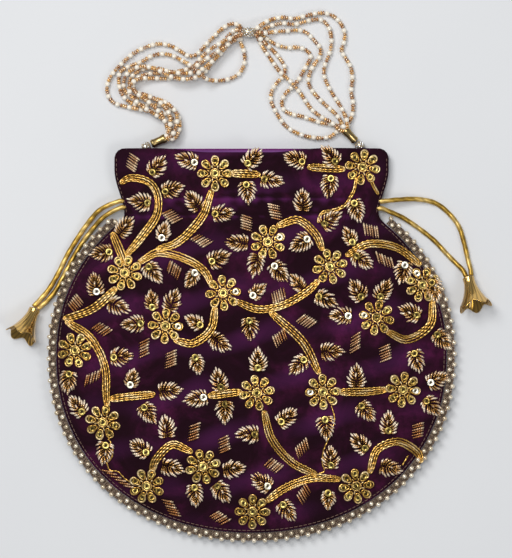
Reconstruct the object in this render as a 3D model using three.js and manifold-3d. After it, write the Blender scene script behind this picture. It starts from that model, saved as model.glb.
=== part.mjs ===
// A potli bag, lying on its back: a round stuffed velvet pouch with a straight neck, gold cord
// embroidery over the whole front, a beaded trim in the seam, drawcords with a brass bell at each
// side, and a strap of pearl and seed bead strands.
// Millimetres. +Z is up from the floor, +Y points to the mouth and +X to the right of the front.
// The origin is on the floor under the middle of the pouch with its trim.
import * as THREE from 'three';
import { mergeVertices } from 'three/addons/utils/BufferGeometryUtils.js';
import Module from 'manifold-3d';

const wasm = await Module();
wasm.setup();

// Driving sizes of the pouch.
const BODY_HALF_WIDTH = 107.3;
const BODY_HALF_LENGTH = 96.6;
const BODY_ROUNDNESS = 2.12;
const WAIST_HALF_WIDTH = 69.3;
const MOUTH_HALF_WIDTH = 75.4;
const NECK_HEIGHT = 38.6;
const MOUTH_CORNER_RADIUS = 5.5;
const WAIST_BLEND = 3;
const FRONT_CROWN = 16.5;
const NECK_CROWN = 6;
const SEAM_HEIGHT = 5.5;
const CROWN_FALL = 2.2;
const CROWN_SHARPNESS = 0.8;
const BACK_FLAT_SHARE = 0.72;

// Walls and clearances.
const VELVET_THICKNESS = 1.2;
const LINING_THICKNESS = 0.5;
const LINING_GAP = 0.85;
const SEAM_GAP = 0.3;
const HEM_DEPTH = 4;
const CUT_MARGIN = 3;

// Trim: a flat braid with two rows of balls, the rows half a pitch apart.
const TRIM_THICKNESS = 1;
const TRIM_WIDTH = 5.3;
const TRIM_GAP = 0.3;
const BALL_DIAMETER = 2.7;
const BALL_PITCH = 5.8;
const TRIM_BELOW_WAIST = 3;

// Embroidery: sizes of one flower, leaf, bullion patch and vine, and how far they stand up.
const FLOWER_RADIUS = 9.6;
const FLOWER_PETALS = 8;
const FLOWER_HEIGHT = 1.3;
const LEAF_LENGTH = 12.5;
const LEAF_WIDTH = 9.5;
const LEAF_RAYS = 4;
const LEAF_HEIGHT = 1.1;
const PATCH_LENGTH = 8.5;
const PATCH_WIDTH = 5;
const PATCH_HEIGHT = 0.8;
const VINE_WIDTH = 4.8;
const VINE_HEIGHT = 0.9;
const VINE_STEP = 8.5;
const STITCH_SINK = 0.8;
const SEAM_MARGIN = 1;

// Cords, strands and what is on them.
const DRAWCORD_DIAMETER = 2.4;
const STRAND_DIAMETER = 2.4;
const CORD_SIDES = 8;
const CORD_STEP_DIAMETERS = 3;
const STRAND_RING_RADIUS = 2.75;
const END_GAP = 0.3;
const BELL_LENGTH = 17.5;
const BELL_COLLAR_RADIUS = 3.3;
const BELL_RIM_RADIUS = 8.9;
const BELL_PETALS = 5;
const BELL_WALL = 0.8;
const FLOOR_GAP = 0.1;
const CAP_LENGTH = 8.6;
const CAP_RADIUS = 2.5;
const LINK_BALL_DIAMETER = 5.5;
const LINK_HEIGHT = 4.65;
const CENTRE_BEAD_LENGTH = 8.6;
const CENTRE_BEAD_DIAMETER = 6.2;
const THREAD_BORE_RADIUS = 0.5;

// Places that follow from the sizes. The origin halves the pouch's length with its trim.
const superellipse = (share) => Math.pow(Math.max(0, 1 - Math.pow(share, BODY_ROUNDNESS)), 1 / BODY_ROUNDNESS);
const WAIST_ABOVE_CENTRE = BODY_HALF_LENGTH * superellipse(WAIST_HALF_WIDTH / BODY_HALF_WIDTH);
const TRIM_REACH = TRIM_GAP + TRIM_WIDTH;
const CENTRE_Y = (BODY_HALF_LENGTH + TRIM_REACH - WAIST_ABOVE_CENTRE - NECK_HEIGHT) / 2;
const WAIST_Y = CENTRE_Y + WAIST_ABOVE_CENTRE;
const MOUTH_Y = WAIST_Y + NECK_HEIGHT;
const LINING_INSET = VELVET_THICKNESS + LINING_GAP;

const smoothStep = (t) => THREE.MathUtils.smoothstep(t, 0, 1);
const smoothMax = (a, b, blend) => 0.5 * (a + b + Math.sqrt((a - b) ** 2 + blend ** 2));

// Half width of the pouch at height y, with every edge moved in by inset.
function halfWidth(y, inset = 0) {
  const share = Math.abs(y - CENTRE_Y) / (BODY_HALF_LENGTH - inset);
  const body = (BODY_HALF_WIDTH - inset) * superellipse(Math.min(share, 1));
  if (y < CENTRE_Y) return body;
  const widening = smoothStep((y - WAIST_Y) / (0.7 * NECK_HEIGHT));
  const neck = THREE.MathUtils.lerp(WAIST_HALF_WIDTH, MOUTH_HALF_WIDTH, widening) - inset;
  return smoothMax(body, neck, WAIST_BLEND);
}

// How far across the pouch a point lies: 0 in the middle, 1 at the seam.
function seamShare(x, y, inset = 0) {
  if (y >= CENTRE_Y) return Math.min(1, Math.abs(x) / halfWidth(y, inset));
  const across = Math.pow(Math.abs(x) / (BODY_HALF_WIDTH - inset), BODY_ROUNDNESS);
  const along = Math.pow((CENTRE_Y - y) / (BODY_HALF_LENGTH - inset), BODY_ROUNDNESS);
  return Math.min(1, Math.pow(across + along, 1 / BODY_ROUNDNESS));
}

// The front rises from the seam to a crown that sinks towards the neck.
function frontZ(x, y, inset = 0) {
  const towardsNeck = smoothStep((y - CENTRE_Y) / WAIST_ABOVE_CENTRE);
  const crown = THREE.MathUtils.lerp(FRONT_CROWN, NECK_CROWN, towardsNeck) - inset;
  const share = seamShare(x, y, inset);
  return SEAM_HEIGHT + crown * Math.pow(1 - Math.pow(share, CROWN_FALL), CROWN_SHARPNESS);
}

// The back is flat on the floor and curls up to the seam near its edge.
function backZ(x, y, inset = 0) {
  const curl = Math.max(0, (seamShare(x, y, inset) - BACK_FLAT_SHARE) / (1 - BACK_FLAT_SHARE));
  return SEAM_HEIGHT - (SEAM_HEIGHT - inset) * (1 - curl ** 2);
}

// Solids: geometry to manifold and back.
function toSolid(geometry) {
  const bare = geometry.clone();
  bare.deleteAttribute('normal');
  bare.deleteAttribute('uv');
  const merged = mergeVertices(bare, 1e-4);
  const index = Array.from(merged.index.array);
  const kept = [];
  for (let i = 0; i < index.length; i += 3) {
    const [a, b, c] = index.slice(i, i + 3);
    if (a !== b && b !== c && c !== a) kept.push(a, b, c);
  }
  return new wasm.Manifold(new wasm.Mesh({
    numProp: 3,
    vertProperties: Float32Array.from(merged.attributes.position.array),
    triVerts: Uint32Array.from(kept),
  }));
}

function toGeometry(solid) {
  const mesh = solid.getMesh();
  const geometry = new THREE.BufferGeometry();
  geometry.setAttribute('position', new THREE.BufferAttribute(Float32Array.from(mesh.vertProperties), 3));
  geometry.setIndex(Array.from(mesh.triVerts));
  geometry.computeVertexNormals();
  return geometry;
}

function geometryFrom(points, triangles) {
  const geometry = new THREE.BufferGeometry();
  geometry.setAttribute('position', new THREE.Float32BufferAttribute(points.flat(), 3));
  geometry.setIndex(triangles.flat());
  return geometry;
}

function box(low, high) {
  const size = high.map((value, axis) => value - low[axis]);
  const geometry = new THREE.BoxGeometry(...size);
  return toSolid(geometry.translate(...low.map((value, axis) => value + size[axis] / 2)));
}

// The pouch's outline, round from the bottom, up the right side, along the mouth and down the left.
function outline(inset, mouthY, cornerRadius) {
  const right = [];
  const bodySteps = 15;
  const bodyTop = Math.asin(Math.pow(WAIST_ABOVE_CENTRE / BODY_HALF_LENGTH, BODY_ROUNDNESS / 2));
  for (let i = 0; i <= bodySteps; i++) {
    const angle = THREE.MathUtils.lerp(-Math.PI / 2, bodyTop, i / bodySteps);
    const rise = Math.sign(angle) * Math.pow(Math.abs(Math.sin(angle)), 2 / BODY_ROUNDNESS);
    const y = CENTRE_Y + (BODY_HALF_LENGTH - inset) * rise;
    right.push([i === 0 ? 0 : halfWidth(y, inset), y]);
  }
  for (const share of [0.3, 0.6]) {
    const y = THREE.MathUtils.lerp(WAIST_Y, mouthY, share);
    right.push([halfWidth(y, inset), y]);
  }
  const topWidth = halfWidth(mouthY, inset);
  for (const turn of [0, 0.25, 0.5]) {
    const x = topWidth - cornerRadius * (1 - Math.cos(turn * Math.PI));
    right.push([x, mouthY - cornerRadius * (1 - Math.sin(turn * Math.PI))]);
  }
  for (const share of [0.75, 0.5, 0.25]) right.push([topWidth * share, mouthY]);
  const left = right.slice(1).reverse().map(([x, y]) => [-x, y]);
  return [...right, [0, mouthY], ...left];
}

// A closed pillow between the back and front surfaces, with its edge moved in by inset.
function pillow(inset, mouthY, cornerRadius) {
  const edge = outline(inset, mouthY, cornerRadius);
  const rings = [0.27, 0.52, 0.75, 0.91, 1];
  const points = [];
  const triangles = [];
  const count = edge.length;
  for (const height of [backZ, frontZ]) {
    const start = points.length;
    points.push([0, CENTRE_Y, height(0, CENTRE_Y, inset)]);
    for (const ring of rings) {
      for (const [edgeX, edgeY] of edge) {
        const x = ring * edgeX;
        const y = CENTRE_Y + ring * (edgeY - CENTRE_Y);
        points.push([x, y, height(x, y, inset)]);
      }
    }
    const front = height === frontZ;
    const face = (a, b, c) => triangles.push(front ? [a, b, c] : [a, c, b]);
    for (let i = 0; i < count; i++) {
      const next = (i + 1) % count;
      face(start, start + 1 + i, start + 1 + next);
      for (let ring = 1; ring < rings.length; ring++) {
        const inner = start + 1 + (ring - 1) * count;
        const outer = inner + count;
        face(inner + i, outer + i, outer + next);
        face(inner + i, outer + next, inner + next);
      }
    }
  }
  const backEdge = 1 + (rings.length - 1) * count;
  const frontEdge = backEdge + 1 + rings.length * count;
  for (let i = 0; i < count; i++) {
    const next = (i + 1) % count;
    triangles.push([backEdge + i, backEdge + next, frontEdge + next]);
    triangles.push([backEdge + i, frontEdge + next, frontEdge + i]);
  }
  return toSolid(geometryFrom(points, triangles));
}

function pouchCavity() {
  return pillow(VELVET_THICKNESS, MOUTH_Y + CUT_MARGIN, 0);
}

// The two velvet panels are one pillow cut along the seam, with a small gap where they are sewn.
// Each is hollowed by the pouch's cavity afterwards.
function velvetHalves() {
  const pouch = pillow(0, MOUTH_Y, MOUTH_CORNER_RADIUS);
  const reach = 2 * (BODY_HALF_WIDTH + BODY_HALF_LENGTH);
  const above = box([-reach, -reach, SEAM_HEIGHT + SEAM_GAP / 2], [reach, reach, reach]);
  const below = box([-reach, -reach, -reach], [reach, reach, SEAM_HEIGHT - SEAM_GAP / 2]);
  return { front: pouch.intersect(above), back: pouch.intersect(below) };
}

function lining() {
  const outside = pillow(LINING_INSET, MOUTH_Y - HEM_DEPTH, 0);
  const inside = pillow(LINING_INSET + LINING_THICKNESS, MOUTH_Y + CUT_MARGIN, 0);
  return outside.subtract(inside);
}

// The embroidery's layout, in millimetres on a sheet of the size below. On the pouch it stretches
// with the body and the neck.
const SHEET = { halfWidth: 107.3, halfLength: 96.6, centreY: -6.3, waistY: 69.9, neckHeight: 38.6 };

function onPouch(x, y) {
  const across = x * (BODY_HALF_WIDTH / SHEET.halfWidth);
  if (y < SHEET.centreY) return [across, CENTRE_Y + (y - SHEET.centreY) * (BODY_HALF_LENGTH / SHEET.halfLength)];
  if (y < SHEET.waistY) {
    const stretch = WAIST_ABOVE_CENTRE / (SHEET.waistY - SHEET.centreY);
    return [across, CENTRE_Y + (y - SHEET.centreY) * stretch];
  }
  return [x * (WAIST_HALF_WIDTH / 69.3), WAIST_Y + (y - SHEET.waistY) * (NECK_HEIGHT / SHEET.neckHeight)];
}

// Flower centres.
const FLOWERS = [
  [-20, 94.5], [61, 98], [-69.5, 40], [9, 57], [43, 43.5], [-15.5, 29], [-47, 11], [68.5, 15.5], [94, 33.5],
  [-97, -2.5], [3, -25.5], [39, -25], [83, -24], [-81.5, -42], [-57.5, -77], [-26.5, -66], [57.5, -77], [0.5, -91],
];

// Leaves: centre and the direction of the tip in degrees.
const LEAVES = [
  [-52.5, 97.5, 50], [-44.5, 85.5, 15], [-60, 79, 170], [-34, 101.5, 160], [-31, 78.5, 125], [0, 102, 45],
  [-2.5, 85.5, 275], [10, 91, -10], [-17, 72.5, 5], [-48.5, 62, 75], [-70, 64.5, 50], [-6.5, 56.5, 175],
  [-19, 47.5, 25], [25, 102, 160], [44, 103.5, 130], [43, 89, 260], [28, 78.5, 90], [42.5, 68.5, 35],
  [57.5, 75.5, 290], [54, 59.5, 120], [28, 57, 210], [60, 47.5, -35], [-81, 51, 190], [-54.5, 41, 310],
  [-32.5, 37.5, 240], [-85.5, 32.5, 100], [-74, 22, -20], [-54.5, 24, 95], [-43.5, 24, 70], [-63.5, 12, 185],
  [-72.5, -6, 5], [-30.5, 13, 150], [-18, 2.5, -35], [-30, -9, 285], [2.5, 45.5, 255], [14.5, 41.5, 310],
  [25.5, 34, 130], [39.5, 26, -25], [3, 29.5, 40], [-1, 11, 275], [3.5, -9, 90], [26.5, -9.5, 225],
  [42.5, -3, 0], [58.5, 29.5, 120], [72, 29.5, 60], [50, 16.5, 180], [83.5, 41.5, 255], [88, 18, 155],
  [104, 4, -45], [90, -7, 285], [100, 32, -75], [-100.5, -18.5, 265], [-65.5, -18.5, 75], [-46, -24.5, 10],
  [-57, -36, 305], [-95, -34, 130], [-46.5, -45.5, 95], [-60, -56.5, 145], [-80.5, -57.5, 260],
  [-44.5, -66.5, -15], [-31, -80.5, 275], [-17, -79, -55], [-11, -67.5, 10], [-17.5, -19.5, 105],
  [-29, -28.5, 190], [-14.5, -34.5, 270], [-1, -48, 180], [18.5, -39.5, 40], [6.5, -75, 145],
  [40.5, -43, 275], [43.5, -62.5, 90], [42, -83.5, 270], [19, -89.5, 305], [57.5, -17.5, 90],
  [62, -35, 310], [75, -43.5, 90], [60, -54, 135], [75, -67, -15], [101, -19, 25], [98, -32.5, -45],
];

// Bullion patches: centre, direction of the row and direction of its threads in degrees.
const PATCHES = [
  [-65, 101.5, -85, -35], [-44.5, 72, -5, 145], [-28, 57.5, 8, 35], [-3, 68, -75, -10], [12.5, 74, -75, -10],
  [65, 64, 0, 90], [73.5, 47, -25, -70], [-42.5, 42, -40, -65], [-97, 24, 35, -55], [-82.5, 9.5, 0, 40],
  [-59, -2, 90, 25], [-43.5, -8, 90, 25], [15, 28.5, 20, -60], [30, 13.5, -10, -35], [14.5, 4, 60, 70],
  [56.5, 1.5, 90, 35], [73.5, -3.5, 90, 20], [-87, -17.5, 25, -70], [-31, -47, 90, 10], [-15, -54.5, 90, 15],
  [12, -65.5, -15, 30], [27, -56, 50, -75], [91, -46.5, 90, 10], [-44, -89, -30, -40], [-17.5, -94.5, -10, 35],
  [28.5, -80, 70, -70], [-73.5, -73, -40, 10],
];

// Vines: the points that each curve runs through.
const VINES = [
  [[-71, 90], [-67, 92], [-56, 89.5], [-51.5, 82], [-52, 72], [-60, 60], [-68, 50.5]],
  [[-22, 84.5], [-27, 71], [-41, 56.5], [-51, 53]],
  [[-61, 46], [-51, 51], [-34, 46.5], [-25.5, 40.5], [-22, 34]],
  [[-76, 61], [-72, 51.5], [-70, 46]],
  [[-75, 31], [-86, 21], [-98, 16], [-102, 15]],
  [[-101, 13], [-88, 4], [-80.5, -11], [-79.5, -28], [-79, -32]],
  [[-76.5, -29], [-70, -28], [-54, -26.5]],
  [[-20, 20.5], [-22, 9.5], [-32, 1.5], [-41, 3]],
  [[-7.5, 24], [3.5, 20], [17.5, 22.5], [31, 30], [36, 35]],
  [[11, 18], [28.5, 1.5], [36.5, -14]],
  [[15, 66], [25.5, 69], [36, 60], [38.5, 53.5]],
  [[53, 50], [64, 56], [79.5, 54], [92, 45]],
  [[99.5, 24], [98, 11.5], [85, 3.5], [75, 7.5]],
  [[48.5, -25], [63, -25], [73, -24]],
  [[-22.5, -27], [-6.5, -25]],
  [[7, -36.5], [11, -50.5], [22, -63.5], [34.5, -70]],
  [[47.5, -73], [33.5, -72.5], [18.5, -78], [9, -84.5]],
  [[65, -68.5], [69, -57], [80.5, -52.5], [91.5, -59], [93, -63]],
  [[-33.5, -57.5], [-43.5, -54], [-52.5, -62.5], [-54.5, -68.5]],
  [[32, 98], [50, 97]],
  [[-10.5, 94.5], [3.5, 94]],
];

// A raised motif on the front: an outline around a centre, sunk below the velvet and domed on top.
function motif(centreX, centreY, spokes, height) {
  const [x0, y0] = onPouch(centreX, centreY);
  const lift = (x, y, above) => [x, y, frontZ(x, y) + above];
  const edge = spokes.map(([x, y]) => [x0 + x, y0 + y]);
  const points = [lift(x0, y0, -STITCH_SINK), lift(x0, y0, height)];
  const triangles = [];
  for (const [x, y] of edge) points.push(lift(x, y, -STITCH_SINK), lift(x, y, 0.6 * height));
  for (let i = 0; i < edge.length; i++) {
    const low = 2 + 2 * i;
    const nextLow = 2 + 2 * ((i + 1) % edge.length);
    triangles.push([0, nextLow, low], [1, low + 1, nextLow + 1]);
    triangles.push([low, nextLow, nextLow + 1], [low, nextLow + 1, low + 1]);
  }
  return toSolid(geometryFrom(points, triangles));
}

const turned = (x, y, degrees) => {
  const angle = THREE.MathUtils.degToRad(degrees);
  return [x * Math.cos(angle) - y * Math.sin(angle), x * Math.sin(angle) + y * Math.cos(angle)];
};

// Eight petals: the outline goes out to each petal's end and back in between two petals.
function flower([x, y]) {
  const spokes = [];
  for (let i = 0; i < 2 * FLOWER_PETALS; i++) {
    const radius = i % 2 ? 0.68 * FLOWER_RADIUS : FLOWER_RADIUS;
    spokes.push(turned(radius, 0, (180 / FLOWER_PETALS) * i));
  }
  return motif(x, y, spokes, FLOWER_HEIGHT);
}

// A spiky oval: each ray ends on the leaf's outline, with a notch before the next.
function leaf([x, y, direction]) {
  const spokes = [];
  for (let i = 0; i < 2 * LEAF_RAYS; i++) {
    const angle = Math.PI * (i / LEAF_RAYS);
    const reach = i % 2 ? 0.78 : 1;
    const across = 0.5 * LEAF_WIDTH * Math.sin(angle) * reach;
    spokes.push(turned(0.5 * LEAF_LENGTH * Math.cos(angle) * reach, across, direction));
  }
  return motif(x, y, spokes, LEAF_HEIGHT);
}

// A slanted block of short threads laid side by side.
function patch([x, y, rowDirection, threadDirection]) {
  const row = turned(0.5 * PATCH_LENGTH, 0, rowDirection);
  const lean = (((threadDirection - rowDirection) % 180) + 180) % 180;
  const steep = THREE.MathUtils.clamp(lean, 40, 140);
  const thread = turned(0.5 * PATCH_WIDTH, 0, rowDirection + steep);
  const corner = (along, up) => [along * row[0] + up * thread[0], along * row[1] + up * thread[1]];
  return motif(x, y, [corner(1, 1), corner(-1, 1), corner(-1, -1), corner(1, -1)], PATCH_HEIGHT);
}

// A raised band of couched cords that follows a curve.
function vine(places) {
  const route = new THREE.CatmullRomCurve3(places.map(([x, y]) => new THREE.Vector3(...onPouch(x, y), 0)));
  const steps = Math.max(2, Math.round(route.getLength() / VINE_STEP));
  const half = VINE_WIDTH / 2;
  const section = [[-half, -STITCH_SINK], [half, -STITCH_SINK], [0.8 * half, VINE_HEIGHT], [-0.8 * half, VINE_HEIGHT]];
  const points = [];
  const triangles = [];
  for (let i = 0; i <= steps; i++) {
    const place = route.getPointAt(i / steps);
    const along = route.getTangentAt(i / steps);
    for (const [across, above] of section) {
      const x = place.x - along.y * across;
      const y = place.y + along.x * across;
      points.push([x, y, frontZ(x, y) + above]);
    }
  }
  const size = section.length;
  for (let i = 0; i < steps; i++) {
    for (let j = 0; j < size; j++) {
      const a = i * size + j;
      const b = i * size + ((j + 1) % size);
      triangles.push([a, b + size, b], [a, a + size, b + size]);
    }
  }
  const last = steps * size;
  for (let j = 1; j < size - 1; j++) triangles.push([0, j, j + 1], [last, last + j + 1, last + j]);
  return toSolid(geometryFrom(points, triangles.map(([a, b, c]) => [a, c, b])));
}

// The stitching stops short of the seam all round, above the seam's level and within the velvet.
function embroideredFront(front) {
  const shape = new THREE.Shape(outline(SEAM_MARGIN, MOUTH_Y - SEAM_MARGIN, MOUTH_CORNER_RADIUS).map(
    ([x, y]) => new THREE.Vector2(x, y)));
  const column = new THREE.ExtrudeGeometry(shape, { depth: 2 * FRONT_CROWN, bevelEnabled: false });
  const within = toSolid(column.translate(0, 0, SEAM_HEIGHT + SEAM_GAP));
  let stitching = VINES.map(vine).reduce((sum, shape) => sum.add(shape));
  for (const shape of [...FLOWERS.map(flower), ...LEAVES.map(leaf), ...PATCHES.map(patch)]) {
    stitching = stitching.add(shape);
  }
  return front.add(stitching.intersect(within)).subtract(pouchCavity());
}

// The trim follows the seam from just under the waist on the left, round the bottom, to the right.
// Stations lie half a ball pitch apart, and the inner and outer rows rise at every other one.
function trim() {
  const seam = outline(0, MOUTH_Y, MOUTH_CORNER_RADIUS).filter(([x, y]) => x >= 0 && y < WAIST_Y - TRIM_BELOW_WAIST);
  const left = seam.slice(1).reverse().map(([x, y]) => [-x, y]);
  const route = new THREE.CatmullRomCurve3([...left, ...seam].map(([x, y]) => new THREE.Vector3(x, y, 0)));
  const steps = Math.round(route.getLength() / (BALL_PITCH / 2));
  const low = SEAM_HEIGHT - TRIM_THICKNESS / 2;
  const high = SEAM_HEIGHT + TRIM_THICKNESS / 2;
  const ballTop = SEAM_HEIGHT + BALL_DIAMETER / 2;
  const innerRow = TRIM_GAP + 0.3 * TRIM_WIDTH;
  const outerRow = TRIM_GAP + TRIM_WIDTH - BALL_DIAMETER / 2;
  const points = [];
  const triangles = [];
  for (let i = 0; i <= steps; i++) {
    const place = route.getPointAt(i / steps);
    const along = route.getTangentAt(i / steps);
    const outerBall = i % 2 === 1;
    const edge = outerBall ? TRIM_REACH : TRIM_REACH - 0.3 * BALL_DIAMETER;
    const section = [[TRIM_GAP, low], [edge, low], [edge, high], [outerRow, outerBall ? ballTop : high],
      [innerRow, outerBall ? high : ballTop], [TRIM_GAP, high]];
    for (const [out, z] of section) points.push([place.x + along.y * out, place.y - along.x * out, z]);
  }
  const size = 6;
  for (let i = 0; i < steps; i++) {
    for (let j = 0; j < size; j++) {
      const a = i * size + j;
      const b = i * size + ((j + 1) % size);
      triangles.push([a, b + size, b], [a, a + size, b + size]);
    }
  }
  const last = steps * size;
  for (let j = 1; j < size - 1; j++) triangles.push([0, j, j + 1], [last, last + j + 1, last + j]);
  return geometryFrom(points, triangles);
}

// A round tube along chosen points.
function tube(places, diameter) {
  const route = new THREE.CatmullRomCurve3(places.map((place) => new THREE.Vector3(...place)), false, 'centripetal');
  const steps = Math.ceil(route.getLength() / (CORD_STEP_DIAMETERS * diameter));
  const section = new THREE.Shape();
  for (let i = 0; i < CORD_SIDES; i++) {
    const angle = (2 * Math.PI * i) / CORD_SIDES;
    const place = [0.5 * diameter * Math.cos(angle), 0.5 * diameter * Math.sin(angle)];
    if (i === 0) section.moveTo(...place);
    else section.lineTo(...place);
  }
  section.closePath();
  return new THREE.ExtrudeGeometry(section, { steps, extrudePath: route });
}

// Drawcord routes, from the side of the neck to just before the bell.
const CORD_START_GAP = 1.2;
const cordStart = (side, y) => [side * (halfWidth(y) + CORD_START_GAP), y, SEAM_HEIGHT];
const DRAWCORDS = {
  drawcord_left_upper: [cordStart(-1, 79.5), [-83.3, 74.8, 4], [-90.5, 67, 2.4], [-96.5, 58.3, 1.5],
    [-101.5, 50, 1.3], [-107, 39, 1.3], [-111.9, 30.8, 1.5], [-116.6, 25.2, 2.6], [-120, 21.4, 3.6]],
  drawcord_left_lower: [cordStart(-1, 76), [-81.1, 71, 4], [-88, 63.6, 2.4], [-93.8, 55.9, 1.5],
    [-98.9, 47.4, 1.3], [-104.2, 37.2, 1.3], [-109, 28.9, 1.5], [-113.9, 23.4, 2.6], [-117.7, 20.2, 3.6]],
  drawcord_right_upper: [cordStart(1, 79.5), [81.1, 80.3, 4.5], [91.6, 80.6, 2.5], [101.5, 78.4, 1.5],
    [108.6, 73, 1.3], [114.1, 65.8, 1.3], [117.2, 56.4, 1.3], [119.3, 47.1, 1.5], [120.6, 42, 2.6], [120.9, 38.6, 3.6]],
  drawcord_right_lower: [cordStart(1, 75.5), [76.2, 73.6, 4.6], [82.8, 70.7, 3], [90.5, 65.8, 1.8],
    [100.4, 58.1, 1.3], [107.5, 50.6, 1.3], [113, 45, 1.8], [116.4, 41.5, 2.8], [118.1, 38, 3.6]],
};

// Each bell lies on its petals: the middle of its collar, and the way its mouth points.
const BELL_COLLAR_HEIGHT = BELL_COLLAR_RADIUS + 0.5;
const BELLS = {
  bell_left: { collar: [-119.4, 19.7, BELL_COLLAR_HEIGHT], mouth: [-0.434, -0.901] },
  bell_right: { collar: [119.4, 37.2, BELL_COLLAR_HEIGHT], mouth: [0.223, -0.975] },
};
const PETAL_SPREAD = 0.12;
const PETAL_RADIUS = BELL_RIM_RADIUS + PETAL_SPREAD * (BELL_RIM_RADIUS - BELL_COLLAR_RADIUS);
const petalReach = Math.hypot(PETAL_RADIUS, BELL_LENGTH);
const BELL_TILT = THREE.MathUtils.radToDeg(
  Math.acos((BELL_COLLAR_HEIGHT - FLOOR_GAP) / petalReach) - Math.atan2(BELL_LENGTH, PETAL_RADIUS));

// A hollow bell: the wall flares from the collar to petals that curl outwards at the rim.
function bellGeometry() {
  const sectors = 4 * BELL_PETALS;
  const stations = [0, 0.15, 0.5, 0.8, 1];
  const flare = (share) => THREE.MathUtils.lerp(0.9, 1, smoothStep(1 - 5 * share));
  const surface = (inset, from) => stations.map((share) => {
    const ring = [];
    for (let i = 0; i < sectors; i++) {
      const angle = (2 * Math.PI * i) / sectors;
      const petal = share ** 2 * Math.cos(BELL_PETALS * angle);
      const straight = BELL_COLLAR_RADIUS * flare(share);
      const radius = straight + (BELL_RIM_RADIUS - BELL_COLLAR_RADIUS) * (share ** 1.9) * (1 + PETAL_SPREAD * petal) - inset;
      const length = THREE.MathUtils.lerp(from, BELL_LENGTH * (0.92 + 0.08 * petal), share);
      ring.push([radius * Math.cos(angle), radius * Math.sin(angle), length]);
    }
    return ring;
  });
  const outside = surface(0, 0);
  const inside = surface(BELL_WALL, 2 * BELL_WALL);
  const rings = [...outside, ...inside.reverse()];
  const points = [[0, 0, 0], ...rings.flat(), [0, 0, 2 * BELL_WALL]];
  const triangles = [];
  for (let i = 0; i < sectors; i++) {
    const next = (i + 1) % sectors;
    triangles.push([0, 1 + next, 1 + i]);
    for (let ring = 0; ring < rings.length - 1; ring++) {
      const a = 1 + ring * sectors;
      const b = a + sectors;
      triangles.push([a + i, a + next, b + next], [a + i, b + next, b + i]);
    }
    const lastRing = 1 + (rings.length - 1) * sectors;
    triangles.push([lastRing + i, lastRing + next, points.length - 1]);
  }
  return geometryFrom(points, triangles);
}

// Strap. The link balls sit in the mouth between the panels, and each cap starts at its ball.
const LINK_LEFT = { ball: [-58, MOUTH_Y + 1.1], towards: [0.919, 0.394] };
const LINK_RIGHT = { ball: [59.4, MOUTH_Y + 1.6], towards: [-0.679, 0.734] };
const CENTRE_BEAD = [-1.4, 172.5];

function capEnd({ ball, towards }, distance) {
  return ball.map((value, axis) => value + distance * towards[axis]);
}

// A turned piece around +Z with a thread bore, from a profile of [radius, z] places.
function turnedPiece(profile, bore, sides = 10) {
  const first = profile[0][1];
  const last = profile[profile.length - 1][1];
  const closed = [[bore, first], ...profile, [bore, last], [bore, first]];
  return new THREE.LatheGeometry(closed.map(([r, z]) => new THREE.Vector2(r, z)), sides).rotateX(Math.PI / 2);
}

function ballGeometry(diameter) {
  const radius = diameter / 2;
  const profile = [];
  const start = Math.asin(THREAD_BORE_RADIUS / radius);
  for (let i = 1; i < 6; i++) {
    const angle = THREE.MathUtils.lerp(start, Math.PI - start, i / 6);
    profile.push([radius * Math.sin(angle), -radius * Math.cos(angle)]);
  }
  const pole = radius * Math.cos(start);
  return turnedPiece([[THREAD_BORE_RADIUS + 0.05, -pole], ...profile, [THREAD_BORE_RADIUS + 0.05, pole]], THREAD_BORE_RADIUS);
}

function capGeometry() {
  const profile = [[0.8, 0], [0.84, 0.06], [0.94, 0.14], [0.86, 0.3], [0.86, 0.6], [1, 0.86], [1, 1]];
  return turnedPiece(profile.map(([r, z]) => [CAP_RADIUS * r, CAP_LENGTH * z]), THREAD_BORE_RADIUS);
}

function centreBeadGeometry() {
  const profile = [[0.6, 0], [0.86, 0.1], [1, 0.3], [1, 0.7], [0.86, 0.9], [0.6, 1]];
  const radius = CENTRE_BEAD_DIAMETER / 2;
  return turnedPiece(profile.map(([r, z]) => [radius * r, CENTRE_BEAD_LENGTH * (z - 0.5)]), THREAD_BORE_RADIUS);
}

// The left half of the strap is a loose rope: its middle line, with six strands turning around it.
// Two strands leave the rope on its outer side and swing round in loops of their own.
const ROPE_MIDDLE = [
  [-44.3, 115], [-43, 120], [-44.8, 126.3], [-51.4, 131.2], [-59.9, 134.2], [-66.6, 137.7], [-69, 143.7],
  [-64.2, 149.2], [-55.4, 150.2], [-45.9, 147.7], [-36.6, 148.3], [-28.9, 152.1], [-23.4, 158.7],
  [-17.3, 165.3], [-11.5, 170.4], [-7.6, 172.2],
];
const ROPE_PITCH = 72;
const ROPE_HEIGHT = 4.6;
const ROPE_WIDE = 4.4;
const ROPE_NARROW = 3.3;
const ROPE_HALF_HEIGHT = 3.35;
const ROPE_STATION = 6;
const ROPE_STRANDS = 6;
const LOOP_FAR = [
  [-70, 131.9, 1.6], [-76.2, 134, 1.3], [-79.4, 138.7, 1.3], [-79.4, 144.2, 1.3], [-76.6, 149.8, 1.3],
  [-71.4, 155.6, 1.3], [-65, 161, 1.3], [-58, 164.5, 1.3], [-51.4, 166.2, 1.3], [-44.8, 165.3, 1.3],
  [-39.3, 162.3, 1.3], [-34.6, 159.6, 1.3], [-30.4, 160.3, 1.3], [-26.4, 164.4, 1.3], [-21.6, 169.4, 1.3],
  [-16.2, 174.6, 1.4], [-11.2, 177.2, 1.9], [-7.2, 176.6, 3.6],
];
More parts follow.
